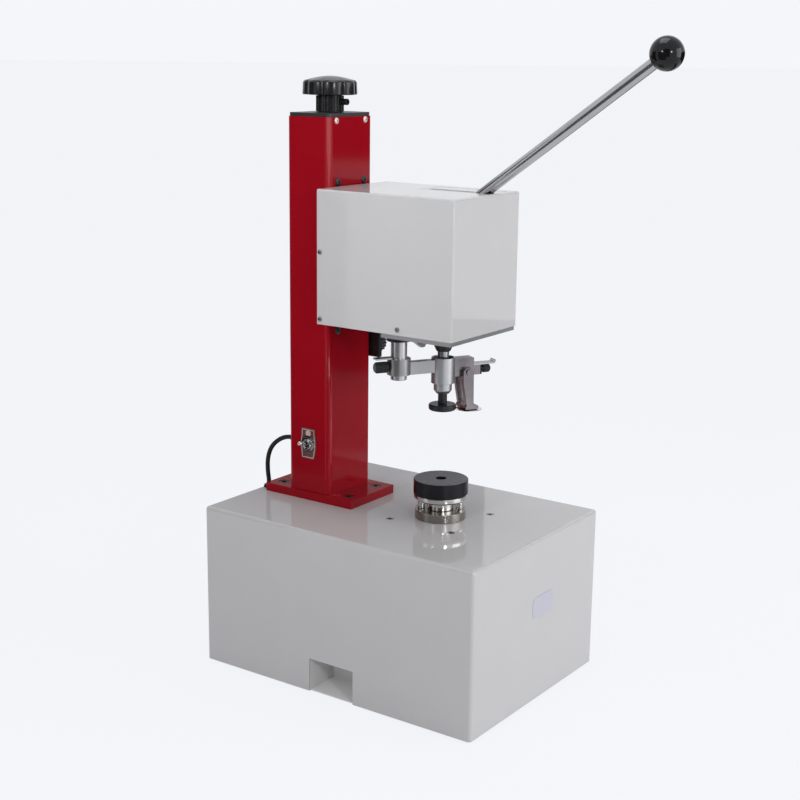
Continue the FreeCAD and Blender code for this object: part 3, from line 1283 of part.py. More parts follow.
def build_unit():
    """The crimping unit that the quill carries under the head."""
    keep("quill", solid(quill_shape(), 0.0, spindle_y, 0.0))
    floor_top = cylinder_bottom + cylinder_floor
    inner = cylinder_radius - cylinder_wall
    turned("unit_cylinder", [(neck_radius, cylinder_bottom), (cylinder_radius, cylinder_bottom),
                             (cylinder_radius, cylinder_top - 0.6), (cylinder_radius - 0.6, cylinder_top),
                             (inner, cylinder_top), (inner, floor_top), (neck_radius, floor_top)],
           0.0, spindle_y, 0.0)
    turned("collar_nut", [(stem_radius + running_gap, collar_nut_bottom),
                          (collar_nut_radius - 3.0, collar_nut_bottom),
                          (collar_nut_radius, collar_nut_bottom + 4.0), (collar_nut_radius, cylinder_bottom),
                          (stem_radius + running_gap, cylinder_bottom)], 0.0, spindle_y, 0.0)
    flange_low = cylinder_bottom + 0.2
    flange_high = flange_low + stem_flange
    pin_low = stem_bottom - stem_pin_length
    turned("press_stem", [(0.0, pin_low), (stem_pin_radius, pin_low), (stem_pin_radius, stem_bottom),
                          (stem_radius, stem_bottom), (stem_radius, flange_low), (neck_radius - 0.2, flange_low),
                          (neck_radius - 0.2, flange_high), (0.0, flange_high)], 0.0, spindle_y, 0.0)
    turned("press_disc", [(0.0, press_disc_bottom), (press_disc_radius - 1.5, press_disc_bottom),
                          (press_disc_radius, press_disc_bottom + 1.5),
                          (press_disc_radius, stem_bottom - part_gap - 1.5),
                          (press_disc_radius - 1.5, stem_bottom - part_gap),
                          (stem_pin_radius + running_gap, stem_bottom - part_gap),
                          (stem_pin_radius + running_gap, pin_low - 0.2), (0.0, pin_low - 0.2)],
           0.0, spindle_y, 0.0)
    spring = coil(float(spring_bore) - 0.9, 0.6, float(press_spring_length) - 1.4, 7)
    keep("press_spring", solid(spring, 0.0, spindle_y, flange_high + 0.7))

    bar_top = bar_bottom + bar_height
    boss_bottom = post_bottom + 6.0
    arm = new_body("PostArm", 0.0, spindle_y, 0.0, arm_angle)
    sketch = sketch_on(arm, "XY_Plane", bar_bottom)
    rectangle(sketch, -post_reach, 0.0, -bar_thickness / 2, bar_thickness / 2)
    pad(arm, sketch, bar_height)
    boss = sketch_on(arm, "XY_Plane", boss_bottom)
    circle(boss, -post_reach, 0.0, boss_radius)
    pad(arm, boss, boss_height)
    bores = sketch_on(arm, "XY_Plane", boss_bottom + boss_height)
    circle(bores, -post_reach, 0.0, post_radius)
    circle(bores, 0.0, 0.0, cylinder_radius)
    pocket(arm, bores, boss_height + 4.0)
    tap = sketch_on(arm, "YZ_Plane", -post_reach - boss_radius)
    circle(tap, 0.0, boss_bottom + boss_height / 2, thumb_shank + running_gap)
    pocket(arm, tap, boss_wall + 3.0, True)
    keep("post_arm", arm)
    post_x, post_y = along_arm(-post_reach)
    turned("guide_post", [(0.0, 0.0), (post_radius - 1.0, 0.0), (post_radius, 1.0), (post_radius, post_length - 1.0),
                          (post_radius - 1.0, post_length), (0.0, post_length)], post_x, post_y, post_bottom)
    thumb("clamp_thumb_screw", -post_reach - boss_radius, 180.0, boss_bottom + boss_height / 2,
          thumb_radius, thumb_length, boss_wall)

    block = new_body("CrimpBlock", 0.0, spindle_y, 0.0, arm_angle)
    sketch = sketch_on(block, "XY_Plane", block_bottom)
    rectangle(sketch, 0.0, block_reach, -block_width / 2, block_width / 2)
    main = pad(block, sketch, block_height)
    tail = sketch_on(block, "XY_Plane", block_bottom)
    rectangle(tail, 0.0, tail_reach - tail_height / 2, -tail_height / 2, tail_height / 2)
    pad(block, tail, tail_height)
    nose = sketch_on(block, "XY_Plane", block_bottom)
    circle(nose, tail_reach - tail_height / 2, 0.0, tail_height / 2)
    pad(block, nose, tail_height)
    seat = sketch_on(block, "XY_Plane", block_bottom + block_height)
    circle(seat, 0.0, 0.0, cylinder_radius)
    pocket(block, seat, block_height)
    pin_hole = sketch_on(block, "XZ_Plane", block_width)
    circle(pin_hole, pivot_reach, fork_pivot_z, pivot_pin_radius)
    pocket(block, pin_hole, block_width * 2)
    stud = sketch_on(block, "YZ_Plane", tail_reach)
    circle(stud, 0.0, block_bottom + tail_height / 2, thumb_shank + running_gap)
    pocket(block, stud, 8.0)
    pin_half = block_width / 2 + 0.3 + finger_thickness + 1.5
    fork_pin = new_body("ForkPin", 0.0, spindle_y, 0.0, arm_angle)
    sketch = sketch_on(fork_pin, "XZ_Plane", -pin_half)
    circle(sketch, pivot_reach, fork_pivot_z, pivot_pin_radius)
    pad(fork_pin, sketch, pin_half * 2)
    keep("crimp_block", fuse(block, fork_pin))
    thumb("depth_thumb_screw", tail_reach, 0.0, block_bottom + tail_height / 2, stud_knob_radius,
          stud_knob_length, 7.5)
    build_strips()
    build_fork()


def thumb(node, reach, turn, z, radius, length, shank):
    """A thumb screw on the crossbar's line, its head pointing away from the unit."""
    x, y = along_arm(reach)
    item = turned(node, [(0.0, -shank), (thumb_shank, -shank), (thumb_shank, 0.5), (radius - 0.8, 0.5),
                         (radius, 1.3), (radius, length - 1.0), (radius - 1.0, length), (0.0, length)], x, y, z)
    aim = FreeCAD.Rotation(Z_AXIS, float(arm_angle) + turn) * FreeCAD.Rotation(Y_AXIS, 90.0)
    item.Placement = FreeCAD.Placement(item.Placement.Base, aim)


def build_strips():
    """Two leaf strips that press on the thumb screws and keep them from working loose."""
    boss_top = post_bottom + 6.0 + boss_height
    left = new_body("ClampStrip", 0.0, spindle_y, 0.0, arm_angle)
    sketch = sketch_on(left, "XZ_Plane", bar_thickness / 2)
    tip = -post_reach - boss_radius - thumb_length
    outline(sketch, [(tip, boss_top), (-post_reach - post_radius - 1.0, boss_top),
                     (-post_reach - post_radius - 1.0, boss_top + strip_gauge), (tip, boss_top + strip_gauge)])
    pad(left, sketch, bar_thickness, True)
    right = new_body("DepthStrip", 0.0, spindle_y, 0.0, arm_angle)
    sketch = sketch_on(right, "XZ_Plane", tail_height / 2)
    level = block_bottom + tail_height
    end = tail_reach + stud_knob_length + 4.0
    rise = strip_gauge * 2.4
    outline(sketch, [(block_reach, level), (end, level), (end + 2.0, level + rise), (end + 0.6, level + rise + 0.6),
                     (end - 0.8, level + strip_gauge), (block_reach, level + strip_gauge)])
    pad(right, sketch, tail_height, True)
    keep("leaf_strips", group([left, right]))


def build_fork():
    """The swinging fork, its pin and spring, and the crimp wheel on its foot."""
    inner = block_width / 2 + 0.3
    outer = inner + finger_thickness
    foot_top = fork_foot_z + fork_foot_height
    ear_top = fork_pivot_z + finger_top_width / 2 - 2.0
    fork = new_body("CrimpFork", 0.0, spindle_y, 0.0, arm_angle)
    top_half = finger_top_width / 2
    foot_half = finger_foot_width / 2
    foot_centre = pivot_reach + 3.0
    for side in (-1, 1):
        sketch = sketch_on(fork, "XZ_Plane", inner if side > 0 else -outer)
        outline(sketch, [(pivot_reach - top_half, ear_top - 3.0), (pivot_reach - top_half + 3.0, ear_top),
                         (pivot_reach + top_half - 3.0, ear_top), (pivot_reach + top_half, ear_top - 3.0),
                         (pivot_reach + top_half, fork_pivot_z - 8.0), (foot_centre + foot_half, fork_foot_z),
                         (foot_centre - foot_half, fork_foot_z), (pivot_reach - top_half, fork_pivot_z - 12.0)])
        pad(fork, sketch, finger_thickness)
    foot = sketch_on(fork, "XY_Plane", fork_foot_z)
    rectangle(foot, foot_centre - foot_half - 2.0, wheel_reach + 6.0, -outer, outer)
    pad(fork, foot, fork_foot_height)
    pin = sketch_on(fork, "XZ_Plane", -outer - 1.0)
    circle(pin, pivot_reach, fork_pivot_z, pivot_pin_radius + running_gap)
    pocket(fork, pin, outer * 2 + 2.0, True)
    axle = sketch_on(fork, "XY_Plane", foot_top)
    circle(axle, wheel_reach, 0.0, axle_radius)
    pocket(fork, axle, fork_foot_height)
    wheel_x, wheel_y = along_arm(wheel_reach)
    wheel_top = fork_foot_z - wheel_gap
    wheel_low = wheel_top - wheel_thickness
    stub = cylinder(axle_radius, foot_top - wheel_low + 0.4, wheel_x, wheel_y, wheel_low - 0.4)
    head = cylinder(wheel_hub_radius, 1.5, wheel_x, wheel_y, wheel_low - 1.8)
    keep("crimp_fork", fuse(fork, stub, head))
    turned("crimp_wheel", [(axle_radius + running_gap, wheel_low), (wheel_radius - 2.0, wheel_low),
                           (wheel_radius, wheel_low + 0.8), (wheel_radius, wheel_low + 1.1),
                           (wheel_radius - 2.0, wheel_top), (axle_radius + running_gap, wheel_top)],
           wheel_x, wheel_y, 0.0)
    spring_low = foot_top + 0.8
    spring_high = block_bottom - 1.0
    length = float(spring_high) - float(spring_low)
    spring_x, spring_y = along_arm(pivot_reach + 3.0)
    keep("fork_spring", solid(coil(2.6, 0.55, length, 9), spring_x, spring_y, spring_low))


build_base()
build_turntable()
build_column()
build_switch()
build_head()
build_lever()
build_unit()
doc.recompute()

os.makedirs("parts", exist_ok=True)
for item in doc.Objects:
    if "Invalid" in item.State or "Error" in item.State:
        raise RuntimeError("%s failed to rebuild: %s" % (item.Label, item.State))
for node, item in nodes.items():
    if item.Shape.isNull() or not item.Shape.isValid():
        raise RuntimeError("%s has no valid shape" % node)
for node, item in nodes.items():
    item.Shape.exportStep("parts/%s.step" % node)
print("%d nodes written" % len(nodes))
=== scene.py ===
"""Bench vial crimping machine: the dressed model, its pale studio and its camera."""

import logging
import math
from dataclasses import dataclass, field
from enum import Enum
from typing import Callable, Iterable, Optional, Sequence

import bmesh
import bpy
from mathutils import Matrix, Vector


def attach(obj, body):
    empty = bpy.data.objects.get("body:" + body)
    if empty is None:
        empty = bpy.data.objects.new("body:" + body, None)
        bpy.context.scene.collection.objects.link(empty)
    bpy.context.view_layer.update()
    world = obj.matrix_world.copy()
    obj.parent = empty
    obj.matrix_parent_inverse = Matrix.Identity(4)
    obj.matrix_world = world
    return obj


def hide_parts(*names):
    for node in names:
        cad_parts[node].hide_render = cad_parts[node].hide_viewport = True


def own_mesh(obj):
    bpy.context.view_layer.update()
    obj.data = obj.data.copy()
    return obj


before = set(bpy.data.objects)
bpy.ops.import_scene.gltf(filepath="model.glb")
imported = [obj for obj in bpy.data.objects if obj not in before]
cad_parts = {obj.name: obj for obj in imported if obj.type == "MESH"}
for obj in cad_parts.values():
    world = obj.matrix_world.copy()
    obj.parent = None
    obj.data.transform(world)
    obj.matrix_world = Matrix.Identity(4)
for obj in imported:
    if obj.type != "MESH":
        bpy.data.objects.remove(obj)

LOG = logging.getLogger("vial_crimper")
MM = 0.001
TURN = 2.0 * math.pi
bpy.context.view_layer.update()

Spot = Sequence[float]
Profile = Sequence[tuple[float, float]]

# Directions and places that several sub-assemblies share, in millimetres.
UP = (0.0, 0.0, 1.0)
FRONTWARD = (0.0, -1.0, 0.0)
SIDES = (-1, 1)
BASE_TOP = 190.0
SPINDLE = (0.0, -54.0, 0.0)
POST = (-46.77, -27.0, 0.0)
COLUMN_AXIS = (0.0, 105.0, 0.0)
LEVER_PIVOT = (20.0, -20.0, 506.5)
LEVER_TILT = math.radians(54.26)
LEVER_LINE = (0.0, -math.sin(LEVER_TILT), math.cos(LEVER_TILT))
ARM_TURN = math.radians(-30.0)
ARM_LINE = (math.cos(ARM_TURN), math.sin(ARM_TURN), 0.0)

# How meshes are cleaned and shaded: angles in degrees, distances in metres.
SHARP_ANGLE = 32.0
RECIPE_SHARP_ANGLE = 35.0
FLAT_ANGLE = 0.3
MERGE_DISTANCE = 2e-6
NO_DISTANCE = 1e-7
FLAT_WEIGHT = 90


class Grain(Enum):
    """The fine marks that a surface carries."""

    PLAIN = "plain"
    PEEL = "peel"
    TURNED = "turned"
    DRAWN = "drawn"
    MOULDED = "moulded"
    GROUND = "ground"


class Body(str, Enum):
    """The moving bodies that pieces ride on."""

    FRAME = "frame"
    TURNTABLE = "turntable"
    ROTOR = "motor_rotor"
    KNOB = "height_knob"
    COLLAR_SCREW = "collar_screw"
    TOGGLE = "toggle"
    HEAD = "head"
    LOCK = "head_lock"
    LEVER = "lever"
    UNIT = "crimp_unit"
    CLAMP_SCREW = "clamp_screw"
    DEPTH_SCREW = "depth_screw"
    PRESS = "press"
    PLATE = "press_plate"
    FORK = "fork"
    WHEEL = "wheel"


@dataclass(frozen=True)
class Finish:
    """A finish with its fine grain, built once as a node material.

    Colours are linear, the grain's size is in millimetres and the bump's height in metres. The
    grain reads object coordinates, centred on the piece's own axis.
    """

    name: str
    slot: str
    colour: tuple[float, float, float]
    roughness: float
    metallic: float = 0.0
    coat: float = 0.0
    coat_roughness: float = 0.05
    specular: float = 0.5
    grain: Grain = Grain.PLAIN
    grain_size: float = 1.0
    depth: float = 0.1
    mottle: float = 0.06
    centre: tuple[float, float, float] = (0.0, 0.0, 0.0)
    along: tuple[float, float, float] = UP
    cloud_scale: float = 22.0
    cloud_detail: float = 6.0
    cloud_roughness: float = 0.62
    cloud_span: tuple[float, float] = (0.3, 0.7)
    gloss_span: tuple[float, float] = (0.85, 1.2)
    grain_detail: float = 3.0
    grain_height: float = 0.0002
    drawn_stretch: float = 0.02
    ground_stretch: float = 0.05

    def material(self) -> bpy.types.Material:
        """Builds the node material, or returns it if it is there.

        Returns:
            The material, with colour, roughness and bump driven by its nodes.
        """
        known = bpy.data.materials.get(self.name)
        if known:
            return known
        made = bpy.data.materials.new(self.name)
        made.use_nodes = True
        tree = made.node_tree
        shader = tree.nodes["Principled BSDF"]
        shader.inputs["Metallic"].default_value = self.metallic
        shader.inputs["Coat Weight"].default_value = self.coat
        shader.inputs["Coat Roughness"].default_value = self.coat_roughness
        shader.inputs["Specular IOR Level"].default_value = self.specular
        place = tree.nodes.new("ShaderNodeTexCoord")
        shift = tree.nodes.new("ShaderNodeMapping")
        shift.vector_type = "TEXTURE"
        shift.inputs["Location"].default_value = [value * MM for value in self.centre]
        turn = Vector(UP).rotation_difference(Vector(self.along)).to_euler()
        shift.inputs["Rotation"].default_value = turn
        tree.links.new(place.outputs["Object"], shift.inputs["Vector"])
        self._colour(tree, shader, shift)
        self._grain(tree, shader, shift)
        return made

    def _colour(self, tree: bpy.types.NodeTree, shader: bpy.types.Node,
                place: bpy.types.Node) -> None:
        """Adds a soft variation of colour and roughness.

        Args:
            tree: The material's node tree.
            shader: Its surface shader.
            place: The node that gives the coordinates.
        """
        cloud = tree.nodes.new("ShaderNodeTexNoise")
        cloud.inputs["Scale"].default_value = self.cloud_scale
        cloud.inputs["Detail"].default_value = self.cloud_detail
        cloud.inputs["Roughness"].default_value = self.cloud_roughness
        tree.links.new(place.outputs["Vector"], cloud.inputs["Vector"])
        ramp = tree.nodes.new("ShaderNodeValToRGB")
        shades = (1.0 - self.mottle, 1.0 + self.mottle)
        for stop, position, shade in zip(ramp.color_ramp.elements, self.cloud_span, shades):
            stop.position = position
            stop.color = [min(channel * shade, 1.0) for channel in self.colour] + [1.0]
        tree.links.new(cloud.outputs["Fac"], ramp.inputs["Fac"])
        tree.links.new(ramp.outputs["Color"], shader.inputs["Base Color"])
        gloss = tree.nodes.new("ShaderNodeMapRange")
        for name, share in zip(("To Min", "To Max"), self.gloss_span):
            gloss.inputs[name].default_value = self.roughness * share
        tree.links.new(cloud.outputs["Fac"], gloss.inputs["Value"])
        tree.links.new(gloss.outputs["Result"], shader.inputs["Roughness"])

    def _grain(self, tree: bpy.types.NodeTree, shader: bpy.types.Node,
               place: bpy.types.Node) -> None:
        """Adds the bump of the finish's grain.

        Args:
            tree: The material's node tree.
            shader: Its surface shader.
            place: The node that gives the coordinates.
        """
        if self.grain is Grain.PLAIN:
            return
        marks = tree.nodes.new("ShaderNodeTexNoise")
        marks.inputs["Detail"].default_value = self.grain_detail
        marks.inputs["Scale"].default_value = 1.0
        source = place.outputs["Vector"]
        if self.grain is Grain.TURNED:
            source = self._rings(tree, source)
        scale = 1.0 / (self.grain_size * MM)
        stretch = tree.nodes.new("ShaderNodeMapping")
        factors = {Grain.DRAWN: (scale, scale, scale * self.drawn_stretch),
                   Grain.GROUND: (scale, scale * self.ground_stretch, scale)}
        stretch.inputs["Scale"].default_value = factors.get(self.grain, (scale, scale, scale))
        tree.links.new(source, stretch.inputs["Vector"])
        tree.links.new(stretch.outputs["Vector"], marks.inputs["Vector"])
        bump = tree.nodes.new("ShaderNodeBump")
        bump.inputs["Strength"].default_value = self.depth
        bump.inputs["Distance"].default_value = self.grain_height
        tree.links.new(marks.outputs["Fac"], bump.inputs["Height"])
        tree.links.new(bump.outputs["Normal"], shader.inputs["Normal"])

    def _rings(self, tree: bpy.types.NodeTree, source: bpy.types.NodeSocket
               ) -> bpy.types.NodeSocket:
        """Turns coordinates into the distance from the axis and the height along it.

        Args:
            tree: The material's node tree.
            source: The coordinates.

        Returns:
            Coordinates that are the same all round the axis, as a lathe's marks are.
        """
        split = tree.nodes.new("ShaderNodeSeparateXYZ")
        tree.links.new(source, split.inputs["Vector"])
        flat = tree.nodes.new("ShaderNodeCombineXYZ")
        for axis in "XY":
            tree.links.new(split.outputs[axis], flat.inputs[axis])
        radius = tree.nodes.new("ShaderNodeVectorMath")
        radius.operation = "LENGTH"
        tree.links.new(flat.outputs["Vector"], radius.inputs[0])
        rings = tree.nodes.new("ShaderNodeCombineXYZ")
        tree.links.new(radius.outputs["Value"], rings.inputs["X"])
        tree.links.new(split.outputs["Z"], rings.inputs["Y"])
        return rings.outputs["Vector"]


ENAMEL = Finish("stoved_grey_enamel", "grey_enamel", (0.498, 0.490, 0.490), 0.05,
                grain=Grain.PEEL, grain_size=2.2, depth=0.012, mottle=0.012)
POCKET = Finish("pale_pocket_enamel", "grey_enamel", (0.66, 0.65, 0.64), 0.25,
                grain=Grain.PEEL, grain_size=2.2, depth=0.03, mottle=0.02)
RED = Finish("red_gloss_coat", "red_paint", (0.272, 0.0034, 0.0095), 0.10, specular=0.17,
             grain=Grain.PEEL, grain_size=2.0, depth=0.04, mottle=0.03)
SHEET = Finish("plain_sheet_steel", "grey_sheet", (0.34, 0.34, 0.34), 0.34, metallic=0.9,
               grain=Grain.GROUND, grain_size=0.4, depth=0.12)
BLACK = Finish("black_moulding", "black_plastic", (0.010, 0.010, 0.011), 0.28, specular=0.35,
               grain=Grain.MOULDED, grain_size=0.5, depth=0.10, mottle=0.2)
BLACK_GLOSS = Finish("glossy_black_moulding", "black_plastic", (0.010, 0.010, 0.011), 0.20,
                     specular=0.38, grain=Grain.MOULDED, grain_size=0.8, depth=0.05, mottle=0.2)
BLACK_CAP = Finish("black_cap_plate", "black_plastic", (0.016, 0.016, 0.017), 0.42,
                   grain=Grain.MOULDED, grain_size=0.8, depth=0.16, mottle=0.2)
BALL = Finish("polished_black_ball", "black_gloss", (0.005, 0.005, 0.006), 0.10, specular=0.30,
              grain=Grain.PEEL, grain_size=3.0, depth=0.02, mottle=0.1)
OXIDE = Finish("black_oxide_steel", "black_steel", (0.012, 0.012, 0.014), 0.30, specular=0.35,
               grain=Grain.TURNED, grain_size=0.3, depth=0.14, mottle=0.2, centre=SPINDLE)
SOFT = Finish("soft_black_rubber", "rubber", (0.010, 0.0098, 0.011), 0.46, specular=0.3,
              grain=Grain.MOULDED, grain_size=0.35, depth=0.2, mottle=0.15)
PAD = Finish("turned_black_pad", "rubber", (0.008, 0.0076, 0.0105), 0.28, specular=0.22,
             grain=Grain.TURNED, grain_size=0.5, depth=0.10, mottle=0.15, centre=SPINDLE)
# Painted sheen: the pad's top face is a lighter copy of the black pad, standing in for the sheen on
# its top.
PAD_TOP_SHEEN = Finish("painted_sheen_pad_top", "rubber", (0.050, 0.049, 0.056), 0.26, specular=0.4,
                  grain=Grain.TURNED, grain_size=0.5, depth=0.06, mottle=0.1, centre=SPINDLE)
CHROME = Finish("polished_chrome", "chrome", (0.66, 0.655, 0.65), 0.07, metallic=1.0,
                grain=Grain.PEEL, grain_size=3.0, depth=0.01, mottle=0.03)
ROD_CHROME = Finish("drawn_chrome_rod", "chrome", (0.43, 0.425, 0.43), 0.16, metallic=1.0,
                    grain=Grain.DRAWN, grain_size=0.35, depth=0.01, mottle=0.08,
                    centre=LEVER_PIVOT, along=LEVER_LINE)
TABLE_CHROME = Finish("turned_chrome_disc", "chrome", (0.70, 0.69, 0.67), 0.12, metallic=1.0,
                      grain=Grain.TURNED, grain_size=0.4, depth=0.05, mottle=0.04, centre=SPINDLE)
FLANGE_STEEL = Finish("turned_flange_steel", "steel", (0.32, 0.30, 0.275), 0.24, metallic=1.0,
                      grain=Grain.TURNED, grain_size=0.25, depth=0.16, mottle=0.06, centre=SPINDLE)
ALUMINIUM = Finish("turned_aluminium", "aluminium", (0.46, 0.46, 0.475), 0.36, metallic=1.0,
                   grain=Grain.TURNED, grain_size=0.3, depth=0.12, mottle=0.05, centre=SPINDLE)
POST_CHROME = Finish("ground_post_chrome", "chrome", (0.50, 0.48, 0.49), 0.28, metallic=1.0,
                     grain=Grain.TURNED, grain_size=0.3, depth=0.04, mottle=0.04, centre=POST)
ARM_STEEL = Finish("milled_arm_steel", "steel", (0.31, 0.305, 0.31), 0.30, metallic=1.0,
                   grain=Grain.GROUND, grain_size=0.4, depth=0.12, mottle=0.15)
WORN_STEEL = Finish("worn_dark_steel", "steel", (0.20, 0.18, 0.185), 0.22, metallic=1.0,
                    grain=Grain.PEEL, grain_size=3.5, depth=0.55, mottle=0.4)
STEEL = Finish("machined_steel", "steel", (0.40, 0.40, 0.41), 0.24, metallic=1.0,
               grain=Grain.GROUND, grain_size=0.3, depth=0.12, mottle=0.1)
ZINC = Finish("zinc_screw_steel", "steel", (0.58, 0.57, 0.55), 0.22, metallic=1.0,
              grain=Grain.PEEL, grain_size=0.8, depth=0.08, mottle=0.1)
WORN_SCREW = Finish("worn_screw_steel", "steel", (0.24, 0.235, 0.23), 0.20, metallic=1.0,
                    grain=Grain.PEEL, grain_size=0.8, depth=0.08, mottle=0.15)
ROSY_SCREW = Finish("pale_cap_screw_steel", "steel", (0.62, 0.50, 0.46), 0.45, metallic=0.85,
                    grain=Grain.PEEL, grain_size=0.8, depth=0.08, mottle=0.1)
DARK_SCREW = Finish("dark_screw_steel", "black_steel", (0.035, 0.033, 0.033), 0.35, metallic=0.6,
                    grain=Grain.PEEL, grain_size=0.8, depth=0.1, mottle=0.2)
BRONZE = Finish("machined_bronze", "brass", (0.60, 0.42, 0.16), 0.28, metallic=1.0,
                grain=Grain.GROUND, grain_size=0.4, depth=0.1, mottle=0.1)
MOTOR = Finish("motor_grey_paint", "motor_grey", (0.16, 0.17, 0.18), 0.38,
               grain=Grain.PEEL, grain_size=1.5, depth=0.08, mottle=0.08)
LABEL = Finish("blank_pale_label", "grey_enamel", (0.47, 0.46, 0.54), 0.30,
               grain=Grain.PEEL, grain_size=1.0, depth=0.03, mottle=0.03)
SWITCH_PLATE = Finish("stamped_switch_plate", "black_plastic", (0.16, 0.07, 0.065), 0.35,
                      metallic=0.6, grain=Grain.GROUND, grain_size=0.4, depth=0.1, mottle=0.3)
PLATE_EDGE = Finish("bare_plate_edge", "steel", (0.70, 0.50, 0.47), 0.40, metallic=0.6,
                    grain=Grain.PEEL, grain_size=0.8, depth=0.1, mottle=0.2)


def upright(x: float, y: float, z: float = 0.0) -> Matrix:
    """Gives the matrix of a place in millimetres, unturned."""
    return Matrix.Translation(Vector((x, y, z)) * MM)


def aimed(origin: Sequence[float], direction: Sequence[float], spin: float = 0.0) -> Matrix:
    """Gives a matrix whose Z axis points along a direction.

    Args:
        origin: The place in millimetres.
        direction: Where the Z axis points.
        spin: A turn about that axis, in radians.

    Returns:
        The matrix, in metres.
    """
    turn = Vector(UP).rotation_difference(Vector(direction)).to_matrix().to_4x4()
    return Matrix.Translation(Vector(origin) * MM) @ turn @ Matrix.Rotation(spin, 4, "Z")


def arm_place(reach: float, side: float, z: float) -> Matrix:
    """Gives the matrix of a place along the crossbar, X along the bar, in millimetres."""
    spot = Matrix.Translation(Vector(SPINDLE) * MM) @ Matrix.Rotation(ARM_TURN, 4, "Z")
    return spot @ Matrix.Translation(Vector((reach, side, z)) * MM)


def soften(points: Profile, radius: float, steps: int = 3, side_share: float = 0.45,
           least_cut: float = 0.02, least_angle: float = 0.1) -> Profile:
    """Rounds the corners of an open profile.

    Args:
        points: The profile's (radius, height) points in millimetres.
        radius: How far each corner is cut back.
        steps: The number of straight pieces in a rounded corner.
        side_share: The most of a side that one corner's cut may take.
        least_cut: A corner with a smaller cut stays sharp.
        least_angle: A flatter corner than this, in radians, stays as it is.

    Returns:
        The profile with its inner corners rounded.
    """
    out = [points[0]]
    for before, corner, after in zip(points, points[1:], points[2:]):
        spot = Vector(corner)
        back = Vector(before) - spot
        ahead = Vector(after) - spot
        cut = min(radius, back.length * side_share, ahead.length * side_share)
        if cut < least_cut or back.angle(-ahead, 0.0) < least_angle:
            out.append(corner)
            continue
        start = spot + back.normalized() * cut
        end = spot + ahead.normalized() * cut
        for step in range(steps + 1):
            share = step / steps
            point = start * (1 - share) ** 2 + spot * (2 * share * (1 - share)) + end * share ** 2
            out.append((point.x, point.y))
    out.append(points[-1])
    return out


def lathe(points: Profile, segments: int = 64,
          shape: Optional[Callable[[float, float], float]] = None) -> bmesh.types.BMesh:
    """Turns a profile about the Z axis.

    Args:
        points: (radius, height) in millimetres. A radius of 0 closes the form.
        segments: The number of faces round the form.
        shape: A factor for the radius at an angle and height, for lobed forms.

    Returns:
        The turned form in metres.
    """
    form = bmesh.new()
    rings = []
    for radius, height in points:
        if radius < NO_DISTANCE:
            rings.append([form.verts.new((0.0, 0.0, height * MM))])
            continue
        ring = []
        for step in range(segments):
            angle = TURN * step / segments
            reach = radius * MM * (shape(angle, height) if shape else 1.0)
            ring.append(form.verts.new((reach * math.cos(angle), reach * math.sin(angle),
                                        height * MM)))
        rings.append(ring)
    closed = rings if points[0][0] < NO_DISTANCE else rings + [rings[0]]
    for low, high in zip(closed, closed[1:]):
        for step in range(segments):
            ahead = (step + 1) % segments
            corners = [low[step % len(low)], low[ahead % len(low)],
                       high[ahead % len(high)], high[step % len(high)]]
            unique = list(dict.fromkeys(corners))
            if len(unique) > 2:
                form.faces.new(unique)
    bmesh.ops.recalc_face_normals(form, faces=form.faces)
    return form


def round_edges(form: bmesh.types.BMesh, radius: float, segments: int) -> None:
    """Rounds all edges of a form, unless the radius is 0.

    Args:
        form: The form, in metres.
        radius: The radius in millimetres.
        segments: The number of faces across a rounded edge.
    """
    if radius > 0:
        bmesh.ops.bevel(form, geom=form.edges[:], offset=radius * MM, segments=segments,
                        affect="EDGES", profile=0.5)


def block(low: Spot, high: Spot, bevel: float = 0.0) -> bmesh.types.BMesh:
    """Builds a box between two corners with rounded edges.

    Args:
        low: The lowest corner in millimetres.
        high: The highest corner in millimetres.
        bevel: The radius of its edges in millimetres.

    Returns:
        The box in metres.
    """
    form = bmesh.new()
    bmesh.ops.create_cube(form, size=1.0)
    size = Vector(high) - Vector(low)
    middle = (Vector(high) + Vector(low)) / 2
    for vertex in form.verts:
        vertex.co = [(vertex.co[axis] * size[axis] + middle[axis]) * MM for axis in range(3)]
    round_edges(form, bevel, 3)
    return form


def prism(outline: Profile, low: float, high: float, bevel: float = 0.0) -> bmesh.types.BMesh:
    """Extrudes a flat outline along Z.

    Args:
        outline: (x, y) points in millimetres, in turn.
        low: The lower face's height.
        high: The upper face's height.
        bevel: The radius of its edges in millimetres.

    Returns:
        The prism in metres.
    """
    form = bmesh.new()
    floor = [form.verts.new((x * MM, y * MM, low * MM)) for x, y in outline]
    roof = [form.verts.new((x * MM, y * MM, high * MM)) for x, y in outline]
    form.faces.new(floor[::-1])
    form.faces.new(roof)
    for step in range(len(outline)):
        ahead = (step + 1) % len(outline)
        form.faces.new([floor[step], floor[ahead], roof[ahead], roof[step]])
    bmesh.ops.recalc_face_normals(form, faces=form.faces)
    round_edges(form, bevel, 2)
    return form


def ellipse(width: float, height: float, count: int, power: float = 2.0) -> Profile:
    """Gives the points of a rounded outline.

    Args:
        width: Its size along X in millimetres.
        height: Its size along Y in millimetres.
        count: The number of points.
        power: 2 for an ellipse, more for a squarer form.

    Returns:
        The outline's (x, y) points, in turn.
    """
    points = []
    for step in range(count):
        angle = TURN * step / count
        x = math.copysign(abs(math.cos(angle)) ** (2.0 / power), math.cos(angle)) * width / 2
        y = math.copysign(abs(math.sin(angle)) ** (2.0 / power), math.sin(angle)) * height / 2
        points.append((x, y))
    return points


def merged(forms: Iterable[bmesh.types.BMesh]) -> bmesh.types.BMesh:
    """Puts several forms in one.

    Args:
        forms: The forms, which are freed.

    Returns:
        The form that holds them all.
    """
    whole = bmesh.new()
    for form in forms:
        carrier = bpy.data.meshes.new("carrier")
        form.to_mesh(carrier)
        whole.from_mesh(carrier)
        bpy.data.meshes.remove(carrier)
        form.free()
    return whole


